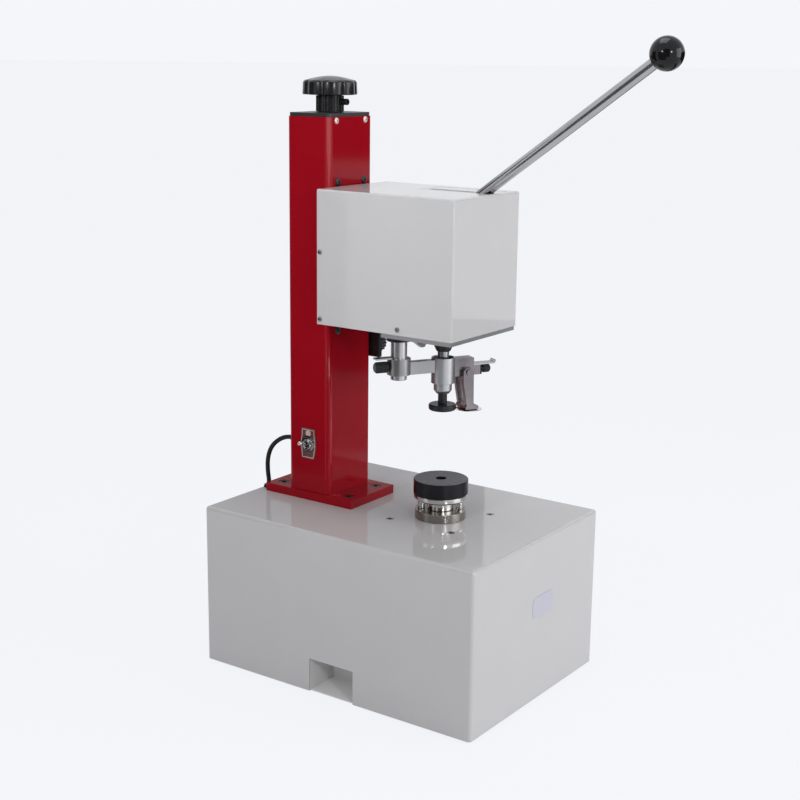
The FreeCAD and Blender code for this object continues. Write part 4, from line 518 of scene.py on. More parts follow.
class GeometryRecipe:
    """A geometry node tree under construction, with named inputs."""

    def __init__(self, name: str) -> None:
        """Starts an empty tree with a geometry input and output.

        Args:
            name: The tree's name.
        """
        self.tree = bpy.data.node_groups.new(name, "GeometryNodeTree")
        self.tree.interface.new_socket("Geometry", in_out="INPUT", socket_type="NodeSocketGeometry")
        self.tree.interface.new_socket("Geometry", in_out="OUTPUT", socket_type="NodeSocketGeometry")
        self.source = self.tree.nodes.new("NodeGroupInput")
        self.result = self.tree.nodes.new("NodeGroupOutput")

    def input(self, name: str, kind: str) -> bpy.types.NodeSocket:
        """Adds a named input and returns its socket inside the tree."""
        self.tree.interface.new_socket(name, in_out="INPUT", socket_type=kind)
        return self.source.outputs[name]

    def node(self, kind: str, **links: object) -> bpy.types.Node:
        """Adds a node, with its inputs linked to sockets or set to values.

        Args:
            kind: The node's type.
            links: Input names, with spaces as underscores, and what feeds them.

        Returns:
            The node.
        """
        made = self.tree.nodes.new(kind)
        for name, value in links.items():
            socket = made.inputs[name.replace("_", " ")]
            if isinstance(value, bpy.types.NodeSocket):
                self.tree.links.new(value, socket)
            else:
                socket.default_value = value
        return made

    def finish(self, geometry: bpy.types.NodeSocket, finish: bpy.types.NodeSocket
               ) -> bpy.types.NodeTree:
        """Ends the tree in Realize Instances and Set Material.

        Args:
            geometry: What the tree has made.
            finish: The material that it gets.

        Returns:
            The finished tree.
        """
        solid = self.node("GeometryNodeRealizeInstances", Geometry=geometry)
        dressed = self.node("GeometryNodeSetMaterial", Geometry=solid.outputs[0], Material=finish)
        self.tree.links.new(dressed.outputs[0], self.result.inputs["Geometry"])
        return self.tree


def fastener_tree() -> bpy.types.NodeTree:
    """Builds the tree that sets a fastener on each point, along the point's aim.

    Returns:
        The tree, with the inputs Fastener, Aim Turn and Finish.
    """
    known = bpy.data.node_groups.get("set_fasteners")
    if known:
        return known
    recipe = GeometryRecipe("set_fasteners")
    fastener = recipe.input("Fastener", "NodeSocketObject")
    finish = recipe.input("Finish", "NodeSocketMaterial")
    info = recipe.node("GeometryNodeObjectInfo", Object=fastener)
    aim = recipe.node("GeometryNodeInputNamedAttribute", Name="aim")
    aim.data_type = "FLOAT_VECTOR"
    spin = recipe.node("GeometryNodeInputNamedAttribute", Name="spin")
    spin.data_type = "FLOAT"
    about = recipe.node("ShaderNodeCombineXYZ", Z=spin.outputs["Attribute"])
    turned = recipe.node("FunctionNodeEulerToRotation", Euler=about.outputs[0])
    align = recipe.node("FunctionNodeAlignRotationToVector", Vector=aim.outputs["Attribute"])
    align.axis = "Z"
    both = recipe.node("FunctionNodeRotateRotation", Rotation=align.outputs[0],
                       Rotate_By=turned.outputs[0])
    both.rotation_space = "LOCAL"
    points = recipe.node("GeometryNodeMeshToPoints", Mesh=recipe.source.outputs["Geometry"])
    placed = recipe.node("GeometryNodeInstanceOnPoints", Points=points.outputs[0],
                         Instance=info.outputs["Geometry"], Rotation=both.outputs[0])
    return recipe.finish(placed.outputs[0], finish)


def rib_tree() -> bpy.types.NodeTree:
    """Builds the tree that sets rounded ribs side by side round an axis.

    Returns:
        The tree, with the inputs Count, Radius, Rib Radius, Rib Length, Place, Turn and Finish.
    """
    known = bpy.data.node_groups.get("ring_of_ribs")
    if known:
        return known
    recipe = GeometryRecipe("ring_of_ribs")
    count = recipe.input("Count", "NodeSocketInt")
    radius = recipe.input("Radius", "NodeSocketFloat")
    rib_radius = recipe.input("Rib Radius", "NodeSocketFloat")
    rib_length = recipe.input("Rib Length", "NodeSocketFloat")
    place = recipe.input("Place", "NodeSocketVector")
    turn = recipe.input("Turn", "NodeSocketVector")
    finish = recipe.input("Finish", "NodeSocketMaterial")
    ring = recipe.node("GeometryNodeMeshCircle", Vertices=count, Radius=radius)
    rib = recipe.node("GeometryNodeMeshCylinder", Vertices=10, Radius=rib_radius,
                      Depth=rib_length)
    placed = recipe.node("GeometryNodeInstanceOnPoints", Points=ring.outputs[0],
                         Instance=rib.outputs["Mesh"])
    moved = recipe.node("GeometryNodeTransform", Geometry=placed.outputs[0], Translation=place,
                        Rotation=turn)
    return recipe.finish(moved.outputs[0], finish)


def coil_tree() -> bpy.types.NodeTree:
    """Builds the tree that winds a wire into a coil spring.

    Returns:
        The tree, with the inputs Turns, Radius, Height, Wire, Place and Finish.
    """
    known = bpy.data.node_groups.get("coil_spring")
    if known:
        return known
    recipe = GeometryRecipe("coil_spring")
    turns = recipe.input("Turns", "NodeSocketFloat")
    radius = recipe.input("Radius", "NodeSocketFloat")
    height = recipe.input("Height", "NodeSocketFloat")
    wire = recipe.input("Wire", "NodeSocketFloat")
    place = recipe.input("Place", "NodeSocketVector")
    finish = recipe.input("Finish", "NodeSocketMaterial")
    spiral = recipe.node("GeometryNodeCurveSpiral", Resolution=24, Rotations=turns,
                         Start_Radius=radius, End_Radius=radius, Height=height)
    section = recipe.node("GeometryNodeCurvePrimitiveCircle", Resolution=10, Radius=wire)
    swept = recipe.node("GeometryNodeCurveToMesh", Curve=spiral.outputs[0],
                        Profile_Curve=section.outputs[0], Fill_Caps=True)
    moved = recipe.node("GeometryNodeTransform", Geometry=swept.outputs[0], Translation=place)
    return recipe.finish(moved.outputs[0], finish)


@dataclass
class Assembly:
    """What every sub-assembly shares: it makes pieces, dresses them and counts them."""

    pieces: list[bpy.types.Object] = field(default_factory=list)

    def add(self, name: str, form: bmesh.types.BMesh, finish: Finish, body: Body, *nodes: str,
            place: Optional[Matrix] = None, sharp: float = SHARP_ANGLE) -> bpy.types.Object:
        """Turns a form into a finished piece of the machine.

        Args:
            name: The piece's name.
            form: Its shape, in metres, which is freed.
            finish: What it is made of.
            body: The body it rides on.
            nodes: The solids that it stands for.
            place: Where the form goes.
            sharp: The angle in degrees above which an edge stays sharp.

        Returns:
            The piece.
        """
        if place is not None:
            form.transform(place)
        mesh = bpy.data.meshes.new(name)
        form.to_mesh(mesh)
        form.free()
        mesh.polygons.foreach_set("use_smooth", [True] * len(mesh.polygons))
        mesh.set_sharp_from_angle(angle=math.radians(sharp))
        mesh.materials.append(finish.material())
        piece = bpy.data.objects.new(name, mesh)
        bpy.context.scene.collection.objects.link(piece)
        weigh = piece.modifiers.new("even_flats", "WEIGHTED_NORMAL")
        weigh.keep_sharp = True
        weigh.weight = FLAT_WEIGHT
        return self.settle(piece, finish, body, *nodes)

    def settle(self, piece: bpy.types.Object, finish: Finish, body: Body, *nodes: str
               ) -> bpy.types.Object:
        """Puts a piece on the body it rides on and hides the solids that it stands for.

        Args:
            piece: The piece.
            finish: What it is made of. Not used.
            body: The body it rides on.
            nodes: The solids that it stands for.

        Returns:
            The piece.
        """
        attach(piece, body.value)
        if nodes:
            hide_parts(*nodes)
        self.pieces.append(piece)
        return piece

    def copy(self, name: str, node: str, finish: Finish, body: Body, edge: float = 0.0
             ) -> bpy.types.Object:
        """Makes a smooth-shaded piece from a solid's own shape.

        Args:
            name: The piece's name.
            node: The solid that it follows.
            finish: What it is made of.
            body: The body it rides on.
            edge: The radius in millimetres that breaks its sharp edges, or 0.

        Returns:
            The piece.
        """
        form = bmesh.new()
        form.from_mesh(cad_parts[node].data)
        bmesh.ops.remove_doubles(form, verts=form.verts, dist=MERGE_DISTANCE)
        bmesh.ops.dissolve_limit(form, angle_limit=math.radians(FLAT_ANGLE), verts=form.verts,
                                 edges=form.edges)
        piece = self.add(name, form, finish, body, node)
        if edge > 0:
            soft = piece.modifiers.new("broken_edges", "BEVEL")
            soft.width = edge * MM
            soft.segments = 2
            soft.limit_method = "ANGLE"
            soft.angle_limit = math.radians(SHARP_ANGLE + 10.0)
            soft.harden_normals = False
            piece.modifiers.move(1, 0)
        return piece

    def dress(self, node: str, finish: Finish) -> None:
        """Gives a solid that stays in view its material.

        Args:
            node: The solid's node.
            finish: What it is made of.
        """
        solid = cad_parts[node]
        if not solid.data.materials:
            solid.data.materials.append(finish.material())
        for slot in solid.material_slots:
            slot.material = finish.material()

    def grow(self, name: str, seed: bpy.types.Mesh, tree: bpy.types.NodeTree, finish: Finish,
             body: Body, nodes: Sequence[str] = (), **values: object) -> bpy.types.Object:
        """Runs a geometry node tree and keeps its result as a plain piece.

        Args:
            name: The piece's name.
            seed: The mesh that the tree starts from.
            tree: The geometry node tree.
            finish: What the piece is made of.
            body: The body it rides on.
            nodes: The solids that it stands for.
            values: The tree's inputs, with spaces as underscores.

        Returns:
            The piece, with its modifier removed.
        """
        piece = bpy.data.objects.new(name, seed)
        bpy.context.scene.collection.objects.link(piece)
        modifier = piece.modifiers.new("recipe", "NODES")
        modifier.node_group = tree
        identifiers = {item.name: item.identifier for item in tree.interface.items_tree
                       if item.in_out == "INPUT"}
        modifier[identifiers["Finish"]] = finish.material()
        for key, value in values.items():
            modifier[identifiers[key.replace("_", " ")]] = value
        bpy.context.view_layer.update()
        graph = bpy.context.evaluated_depsgraph_get()
        result = bpy.data.meshes.new_from_object(piece.evaluated_get(graph), depsgraph=graph)
        piece.modifiers.clear()
        piece.data = result
        result.name = name
        result.polygons.foreach_set("use_smooth", [True] * len(result.polygons))
        result.set_sharp_from_angle(angle=math.radians(RECIPE_SHARP_ANGLE))
        if not result.materials:
            result.materials.append(finish.material())
        return self.settle(piece, finish, body, *nodes)

    def fasteners(self, name: str, head: bmesh.types.BMesh, finish: Finish, body: Body,
                  node: str, places: Sequence[tuple[Spot, Spot]]) -> bpy.types.Object:
        """Sets one kind of fastener at several places, each turned a little further.

        Args:
            name: The piece's name.
            head: One fastener, its seat at height 0, in metres.
            finish: What it is made of.
            body: The body it rides on.
            node: The solids that it stands for.
            places: For each, its place in millimetres and the way its head points.

        Returns:
            The piece with all of them.
        """
        pattern_mesh = bpy.data.meshes.new(name + "_pattern")
        head.to_mesh(pattern_mesh)
        head.free()
        pattern = bpy.data.objects.new(name + "_pattern", pattern_mesh)
        bpy.context.scene.collection.objects.link(pattern)
        seed = bpy.data.meshes.new(name)
        seed.from_pydata([Vector(spot) * MM for spot, _ in places], [], [])
        aim = seed.attributes.new("aim", "FLOAT_VECTOR", "POINT")
        aim.data.foreach_set("vector", [value for _, way in places for value in way])
        spin = seed.attributes.new("spin", "FLOAT", "POINT")
        spin.data.foreach_set("value", [0.7 + 1.9 * step for step in range(len(places))])
        piece = self.grow(name, seed, fastener_tree(), finish, body, [node], Fastener=pattern)
        bpy.data.objects.remove(pattern)
        return piece

    def ribs(self, name: str, finish: Finish, body: Body, count: int, radius: float, rib: float,
             length: float, place: Spot, turn: Spot = (0.0, 0.0, 0.0)) -> bpy.types.Object:
        """Sets a ring of grip ribs, sizes and place in millimetres."""
        seed = bpy.data.meshes.new(name)
        return self.grow(name, seed, rib_tree(), finish, body, Count=count, Radius=radius * MM,
                         Rib_Radius=rib * MM, Rib_Length=length * MM,
                         Place=[value * MM for value in place], Turn=list(turn))

    def spring(self, name: str, finish: Finish, body: Body, node: str, turns: float,
               radius: float, height: float, wire: float, place: Spot) -> bpy.types.Object:
        """Winds a coil spring, sizes and place in millimetres."""
        seed = bpy.data.meshes.new(name)
        return self.grow(name, seed, coil_tree(), finish, body, [node], Turns=turns,
                         Radius=radius * MM, Height=height * MM, Wire=wire * MM,
                         Place=[value * MM for value in place])


def hexagon_socket(form: bmesh.types.BMesh, radius: float, height: float, depth: float
                   ) -> None:
    """Sinks a hexagonal socket into the flat top of a turned head.

    Args:
        form: The head, whose top is one face fan round a centre point.
        radius: The socket's corner radius in millimetres.
        height: The top's height in millimetres.
        depth: How deep the socket goes in millimetres.
    """
    crown = [vertex for vertex in form.verts if abs(vertex.co.z - height * MM) < NO_DISTANCE
             and vertex.co.xy.length < NO_DISTANCE]
    if not crown:
        return
    around = {vertex for face in crown[0].link_faces for vertex in face.verts}
    ring = sorted(around - {crown[0]}, key=lambda vertex: math.atan2(vertex.co.y, vertex.co.x))
    bmesh.ops.delete(form, geom=crown, context="VERTS")
    levels = []
    for level in (height, height - depth):
        corners = []
        for vertex in ring:
            angle = math.atan2(vertex.co.y, vertex.co.x)
            sector = (angle % (TURN / 6)) - TURN / 12
            reach = radius * math.cos(TURN / 12) / math.cos(sector) * MM
            corners.append(form.verts.new((reach * math.cos(angle), reach * math.sin(angle),
                                           level * MM)))
        levels.append(corners)
    loops = [ring] + levels
    for low, high in zip(loops, loops[1:]):
        for step in range(len(ring)):
            ahead = (step + 1) % len(ring)
            form.faces.new([low[step], low[ahead], high[ahead], high[step]])
    form.faces.new(levels[-1])
    bmesh.ops.recalc_face_normals(form, faces=form.faces)


class HeadForm(Enum):
    """The forms that a screw's head has."""

    CAP = "cap"
    BUTTON = "button"
    FLAT = "flat"


@dataclass(frozen=True)
class Screw:
    """A screw's head with a hexagonal socket, in millimetres."""

    form: HeadForm
    radius: float
    height: float
    socket: float
    shank: float = 1.0
    segments: int = 36
    neck_share: float = 0.55
    flush_gap: float = 0.08

    def head(self) -> bmesh.types.BMesh:
        """Builds the head.

        Returns:
            The head in metres, its seat at height 0. A flat head lies below it.
        """
        radius, height, top = self.radius, self.height, self.height
        neck = radius * self.neck_share
        points = [(0, -self.shank), (neck, -self.shank), (neck, 0), (radius, 0)]
        if self.form is HeadForm.CAP:
            points = soften(points + [(radius, height), (0, height)], min(0.5, height * 0.25), 3)
            depth = height * 0.6
        elif self.form is HeadForm.BUTTON:
            points += self._dome() + [(0, height)]
            depth = height * 0.7
        else:
            top, depth = -self.flush_gap, height * 0.7
            points = [(0, -height * 2), (radius * 0.5, -height * 2), (radius * 0.5, -height),
                      (radius - 0.1, -0.25), (radius - 0.1, top), (0, top)]
        form = lathe(points, self.segments)
        hexagon_socket(form, self.socket, top, depth)
        return form

    def _dome(self, steps: int = 7, start: float = 12.0, step_angle: float = 11.0) -> Profile:
        """Gives the points of a button head's dome.

        Args:
            steps: The number of points.
            start: The first point's angle above the seat, in degrees.
            step_angle: The angle from point to point, in degrees.

        Returns:
            The dome's (radius, height) points. The last one is at the head's full height.
        """
        full = math.sin(math.radians(start + step_angle * (steps - 1)))
        angles = [math.radians(start + step_angle * step) for step in range(steps)]
        return [(self.radius * math.cos(angle), self.height * math.sin(angle) / full)
                for angle in angles]


@dataclass
class BaseUnit(Assembly):
    """The enamelled base with its carrying pocket, rubber mat and mains inlet."""

    label_place: Spot = (12.0, -184.0, 111.0)
    label_size: tuple[float, float] = (44.0, 25.0)
    label_gauge: float = 0.35
    label_bevel: float = 0.1
    label_squareness: float = 5.0
    screw: Screw = Screw(HeadForm.FLAT, 4.8, 2.0, 2.3)
    screw_pitch: float = 82.0

    def build(self) -> None:
        """Makes the base's pieces."""
        self.copy("base_shell", "base_housing", ENAMEL, Body.FRAME)
        self.copy("base_floor_and_pocket", "bottom_panel", POCKET, Body.FRAME)
        self.copy("rubber_mat_sheet", "rubber_mat", SOFT, Body.FRAME)
        self.copy("mains_inlet_socket", "mains_inlet", BLACK, Body.FRAME)
        self.dress("bearing_housing", SHEET)
        self.dress("drive_motor", MOTOR)
        self.dress("drive_belt", SOFT)
        self.dress("motor_pulley", OXIDE)
        self._label()
        half = self.screw_pitch / 2
        places = [((half * side, SPINDLE[1] + half * end, BASE_TOP), UP)
                  for side in SIDES for end in SIDES]
        self.fasteners("housing_flat_screws", self.screw.head(), WORN_SCREW, Body.FRAME,
                       "housing_screws", places)

    def _label(self) -> None:
        """Sticks a blank pale label on the front."""
        outline = ellipse(*self.label_size, 40, self.label_squareness)
        form = prism(outline, 0.0, self.label_gauge, self.label_bevel)
        self.add("blank_front_label", form, LABEL, Body.FRAME,
                 place=aimed(self.label_place, FRONTWARD))


@dataclass
class Turntable(Assembly):
    """The driven turntable that carries the vial."""

    pad_radius: float = 31.0
    flange_radius: float = 29.0
    flange_bore: float = 10.5
    flange_top: float = 200.0
    hub_radius: float = 15.0
    shaft_bore: float = 4.5
    disc_levels: tuple[float, ...] = (200.4, 211.5, 213.6, 218.5)
    pad_top: float = 235.3
    recess_radius: float = 5.6
    recess_floor: float = 230.5
    face_bore: float = 6.4
    face_levels: tuple[float, float] = (235.1, 235.5)
    segments: int = 96
    screw: Screw = Screw(HeadForm.CAP, 4.25, 7.6, 2.2)
    screw_circle: float = 21.5
    screw_angle: float = -57.0

    def build(self) -> None:
        """Makes the turntable's pieces."""
        rim, ring, bore = self.pad_radius, self.flange_radius, self.flange_bore
        foot, neck, shoulder, seat = self.disc_levels
        flange = [(bore, BASE_TOP), (ring, BASE_TOP), (ring, self.flange_top),
                  (bore, self.flange_top)]
        disc = [(self.shaft_bore, foot), (self.hub_radius, foot), (self.hub_radius, neck),
                (rim - 3.5, neck), (rim - 0.4, shoulder), (rim - 0.4, seat),
                (self.shaft_bore, seat)]
        pad = [(0, seat), (rim, seat), (rim, self.pad_top), (self.recess_radius, self.pad_top),
               (self.recess_radius, self.recess_floor), (0, self.recess_floor)]
        low, high = self.face_levels
        face = [(self.face_bore, low), (rim - 0.8, low), (rim - 0.8, high), (self.face_bore, high)]
        self._turned("table_flange_ring", flange, 0.7, FLANGE_STEEL, Body.FRAME, "table_flange")
        self._screws()
        self._turned("table_chrome_disc", disc, 0.6, TABLE_CHROME, Body.TURNTABLE, "table_disc")
        self._turned("table_vial_pad", pad, 0.9, PAD, Body.TURNTABLE, "table_pad")
        # The pad face's lighter colour is painted sheen on top of the black pad.
        self._turned("table_pad_face", face, 0.15, PAD_TOP_SHEEN, Body.TURNTABLE)
        self.copy("table_spindle", "table_shaft", STEEL, Body.TURNTABLE)

    def _turned(self, name: str, points: Profile, radius: float, finish: Finish, body: Body,
                *nodes: str) -> None:
        """Turns one piece about the spindle.

        Args:
            name: The piece's name.
            points: Its (radius, height) profile in millimetres.
            radius: How far its corners are rounded.
            finish: What it is made of.
            body: The body it rides on.
            nodes: The solids that it stands for.
        """
        form = lathe(soften(points, radius), self.segments)
        self.add(name, form, finish, body, *nodes, place=upright(*SPINDLE))

    def _screws(self) -> None:
        """Sets the two cap screws on the flange."""
        turn = math.radians(self.screw_angle)
        reach = self.screw_circle
        places = [((side * reach * math.cos(turn), SPINDLE[1] + side * reach * math.sin(turn),
                    self.flange_top), UP) for side in SIDES]
        self.fasteners("flange_cap_screws", self.screw.head(), ZINC, Body.FRAME,
                       "table_flange_screws", places)


@dataclass
class Column(Assembly):
    """The red column with its foot, cap, fluted collar and star knob."""

    front: float = 75.0
    cap_screw: Screw = Screw(HeadForm.BUTTON, 3.7, 1.3, 1.5, 2.0)
    cap_screw_place: tuple[float, float] = (26.5, 628.0)
    rail_screw: Screw = Screw(HeadForm.BUTTON, 4.6, 2.1, 1.9, 2.0)
    rail_screw_x: float = 24.0
    rail_screw_levels: tuple[float, ...] = (561.0, 393.0)
    foot_bolt: Screw = Screw(HeadForm.CAP, 6.5, 4.6, 3.4)
    foot_bolt_spread: tuple[float, float] = (26.5, 48.5)
    foot_top: float = 195.0
    collar_radius: float = 15.7
    collar_bore: float = 8.1
    collar_levels: tuple[float, float] = (636.0, 655.0)
    flute_count: int = 14
    flute_radius: float = 1.9
    flute_length: float = 17.5
    stud: Profile = ((0, -4), (2.4, -4), (2.4, 0), (3.5, 0), (3.5, 9.2), (0, 9.2))
    stud_place: Spot = (0.0, 89.0, 647.78)
    knob_radius: float = 31.0
    knob_levels: tuple[float, ...] = (655.4, 656.4, 669.0, 671.0, 676.0)
    knob_segments: int = 192
    dome_steps: int = 12
    lobes: int = 8
    lobe_depth: float = 0.085

    def build(self) -> None:
        """Makes the column's pieces."""
        self.copy("column_tube", "column", RED, Body.FRAME)
        self.copy("column_cap_plate", "column_cap", BLACK_CAP, Body.FRAME)
        self.dress("guide_rails", STEEL)
        x, z = self.cap_screw_place
        self.fasteners("cap_button_screws", self.cap_screw.head(), ROSY_SCREW, Body.FRAME,
                       "cap_screws", [((x * side, self.front, z), FRONTWARD) for side in SIDES])
        rails = [((self.rail_screw_x * side, self.front, level), FRONTWARD)
                 for side in SIDES for level in self.rail_screw_levels]
        self.fasteners("rail_flat_screws", self.rail_screw.head(), DARK_SCREW, Body.FRAME,
                       "rail_screws", rails)
        x, y = self.foot_bolt_spread
        bolts = [((x * side, COLUMN_AXIS[1] + y * end, self.foot_top), UP)
                 for side in SIDES for end in SIDES]
        self.fasteners("foot_plate_bolts", self.foot_bolt.head(), DARK_SCREW, Body.FRAME,
                       "column_bolts", bolts)
        self._collar()
        self._knob()
        self.copy("lift_lead_screw", "lead_screw", STEEL, Body.KNOB)

    def _collar(self) -> None:
        """Makes the fluted collar and its lock screw."""
        inner = self.collar_radius - 1.5
        low, high = self.collar_levels
        core = [(self.collar_bore, low), (inner, low), (inner, high), (self.collar_bore, high)]
        self.add("collar_core", lathe(soften(core, 0.6), 64), BLACK, Body.FRAME, "knob_collar",
                 place=upright(*COLUMN_AXIS))
        self.ribs("collar_grip_ribs", BLACK_GLOSS, Body.FRAME, self.flute_count, inner - 0.3,
                  self.flute_radius, self.flute_length, (*COLUMN_AXIS[:2], (low + high) / 2))
        form = lathe(soften(self.stud, 0.5), 36)
        hexagon_socket(form, 1.5, self.stud[-1][1], 3.0)
        self.add("collar_lock_stud", form, BLACK, Body.COLLAR_SCREW, "collar_lock_screw",
                 place=aimed(self.stud_place, FRONTWARD))

    def _knob(self) -> None:
        """Makes the lobed hand knob with its low dome."""
        rim = self.knob_radius
        crown = rim - 2.2
        foot, skirt, side, edge, top = self.knob_levels
        profile = [(0, foot), (rim - 1.0, foot), (rim, skirt), (rim - 0.6, side), (crown, edge)]
        for step in range(1, self.dome_steps):
            share = step / self.dome_steps
            rise = (top - edge) * math.sin(share * math.pi / 2)
            profile.append((crown * (1 - share), edge + rise))
        profile.append((0, top))

        def lobed(angle: float, height: float) -> float:
            """Gives the shape of the knob's rim.

            Args:
                angle: The angle round the knob, in radians.
                height: The height in millimetres.

            Returns:
                The factor of the radius there, which fades out over the dome.
            """
            wave = abs(math.cos(self.lobes * angle / 2))
            fade = max(0.0, min(1.0, (top - height) / 6.0))
            return 1.0 - self.lobe_depth * fade * (1.0 - wave ** 0.6)

        self.add("star_hand_knob", lathe(profile, self.knob_segments, lobed), BLACK_GLOSS,
                 Body.KNOB, "star_knob", place=upright(*COLUMN_AXIS), sharp=50.0)


@dataclass
class ToggleSwitch(Assembly):
    """The toggle switch on the column's left side and its lead."""

    centre: Spot = (-40.0, 105.0, 258.0)
    plate_gauge: float = 1.0
    outline: Profile = (
        (-10.2, -18.4), (8.2, -18.4), (9.6, -14.5), (11.4, -4.0), (11.4, 4.0), (9.9, 12.0),
        (9.9, 18.4), (-10.2, 18.4), (-10.2, 12.0), (-11.4, 4.0), (-11.4, -4.0), (-10.2, -14.5))
    border_shares: tuple[float, float] = (0.86, 0.9)
    border_width: float = 0.9
    ring_place: tuple[float, float] = (0.0, 12.2)
    ring_sizes: tuple[float, float] = (7.5, 4.6)
    bar_places: Profile = ((-4.2, -11.0), (4.2, -11.0), (0.0, -14.2))
    bar_size: tuple[float, float] = (3.0, 2.4)
    nut: Profile = ((6.0, 0), (8.9, 0), (8.9, 2.6), (6.0, 2.6))
    washer: Profile = ((6.0, 0), (9.6, 0), (9.6, 0.5), (6.0, 0.5))
    bush: Profile = ((3.2, -4), (6.0, -4), (6.0, 4.6), (4.2, 4.6), (3.2, 3.0))
    case: tuple[Spot, Spot] = ((-8.0, -14.0, -22.0), (8.0, 14.0, -4.0))
    tab: Profile = ((-1.0, 8.5), (1.0, 8.5), (0.4, 13.5), (-0.4, 13.5))
    tab_turn: float = -58.0
    pivot_radius: float = 2.5
    bat_taper: Profile = ((1.25, 4.0), (1.7, 13.0))
    bat_tip_radius: float = 2.7
    bat_tip_height: float = 16.4
    bat_tilt: float = 12.0
    lead_diameter: float = 5.4
    lead_length: float = 98.7
    lead_start: Spot = (-28.0, 131.0, 258.0)
    lead_end: Spot = (-28.0, 176.0, 188.0)
    lead_from_start: tuple[Spot, ...] = (
        (0.0, 0.0, 0.0), (0.0, 14.0, 0.0), (-1.5, 27.5, -5.5), (-3.0, 38.5, -16.0),
        (-3.0, 44.5, -31.0))
    lead_from_end: tuple[Spot, ...] = ((-1.2, 1.0, 21.0), (0.0, 0.0, 10.5), (0.0, 0.0, 0.0))
    column_rear: float = 135.0

    def build(self) -> None:
        """Makes the switch's pieces."""
        outward = Matrix(((0, 0, -1, 0), (-1, 0, 0, 0), (0, 1, 0, 0), (0, 0, 0, 1)))
        here = upright(*self.centre) @ outward
        self._plate(here)
        self._bush(here)
        self._bat()
        self._lead()
        self._grommets()

    def _plate(self, here: Matrix) -> None:
        """Makes the blank label plate with its raised border, ring and bars.

        Args:
            here: The switch's place, Z pointing out of the column.
        """
        gauge = self.plate_gauge
        foot = gauge * 0.6
        half, rise = (size / 2 for size in self.bar_size)
        plate = [prism(self.outline, 0.0, gauge * 0.7, 0.15)]
        for x, y in self.bar_places:
            plate.append(block((x - half, y - rise, foot), (x + half, y + rise, gauge), 0.15))
        self.add("switch_label_plate", merged(plate), SWITCH_PLATE, Body.FRAME, "switch_plate",
                 place=here)
        raised = [self._border(gauge)]
        for size, top in zip(self.ring_sizes, (gauge, gauge * 1.1)):
            ring = prism(ellipse(size, size, 24), foot, top, 0.1)
            ring.transform(upright(*self.ring_place))
            raised.append(ring)
        self.add("switch_plate_border", merged(raised), PLATE_EDGE, Body.FRAME, place=here)

    def _border(self, gauge: float) -> bmesh.types.BMesh:
        """Raises a narrow border inside the plate's outline.

        Args:
            gauge: The plate's thickness in millimetres.

        Returns:
            The border's bars as one form.
        """
        across, along = self.border_shares
        points = [Vector((x * across, y * along)) for x, y in self.outline]
        bars = []
        for start, end in zip(points, points[1:] + points[:1]):
            line = end - start
            side = Vector((-line.y, line.x)).normalized() * self.border_width / 2
            corners = [start - side, end - side, end + side, start + side]
            bars.append(prism([corner.to_tuple() for corner in corners], gauge * 0.6, gauge * 1.1))
        return merged(bars)

    def _bush(self, here: Matrix) -> None:
        """Makes the switch's case, bush, nut and tabbed washer.

        Args:
            here: The switch's place, Z pointing out of the column.
        """
        tab = prism(self.tab, 0.9, 1.5, 0.1)
        tab.transform(Matrix.Rotation(math.radians(self.tab_turn), 4, "Z"))
        stack = [(lathe(soften(self.nut, 0.3), 6), 1.3), (lathe(self.washer, 48), 0.9),
                 (lathe(soften(self.bush, 0.4), 48), 1.0)]
        for form, lift in stack:
            form.transform(upright(0.0, 0.0, lift))
        forms = [form for form, _ in stack] + [tab, block(*self.case, 0.4)]
        self.add("switch_bush_and_nut", merged(forms), CHROME, Body.FRAME, "switch_body",
                 place=here)

    def _bat(self) -> None:
        """Makes the toggle's bat, from its round pivot to its rounded tip."""
        pivot, tip, height = self.pivot_radius, self.bat_tip_radius, self.bat_tip_height
        angles = [math.radians(turn) for turn in range(-90, 61, 15)]
        bat = [(pivot * math.cos(angle), pivot * math.sin(angle)) for angle in angles]
        bat[0] = (0, -pivot)
        bat += self.bat_taper
        for step in range(9):
            angle = math.radians(-60.0 + 150.0 * step / 8)
            bat.append((tip * math.cos(angle), height + tip * math.sin(angle)))
        bat[-1] = (0, height + tip)
        tilt = math.radians(self.bat_tilt)
        line = (-math.cos(tilt), 0.0, math.sin(tilt))
        self.add("switch_ball_bat", lathe(bat, 32), CHROME, Body.TOGGLE, "switch_bat",
                 place=aimed(self.centre, line))

    def _lead(self) -> None:
        """Lays the switch lead from the column into the base."""
        route = [Vector(self.lead_start) + Vector(step) for step in self.lead_from_start]
        route += [Vector(self.lead_end) + Vector(step) for step in self.lead_from_end]
        curve = bpy.data.curves.new("switch_lead_line", "CURVE")
        curve.dimensions = "3D"
        line = curve.splines.new("NURBS")
        line.points.add(len(route) - 1)
        for point, spot in zip(line.points, route):
            point.co = (*(spot * MM), 1.0)
        line.order_u = 3
        line.use_endpoint_u = True
        line.resolution_u = 12
        curve.bevel_depth = self.lead_diameter / 2 * MM
        curve.bevel_resolution = 6
        curve.use_fill_caps = True
        curve.materials.append(SOFT.material())
        lead = bpy.data.objects.new("switch_lead_cord", curve)
        bpy.context.scene.collection.objects.link(lead)
        self.settle(lead, SOFT, Body.FRAME, "switch_lead")

    def _grommets(self) -> None:
        """Sets the lead's two rubber grommets, in the column's rear and the base's top."""
        bore = self.lead_diameter / 2 + 0.05
        points = [(bore, -2), (bore + 2.2, -2), (bore + 2.2, 0), (bore + 4.0, 0),
                  (bore + 3.2, 3.0), (bore, 3.0)]
        x, _, z = self.lead_start
        places = [((x, self.column_rear, z), (0.0, 1.0, 0.0)),
                  ((*self.lead_end[:2], BASE_TOP), UP)]
        self.fasteners("lead_rubber_grommets", lathe(soften(points, 0.5), 40), SOFT, Body.FRAME,
                       "lead_grommets", places)


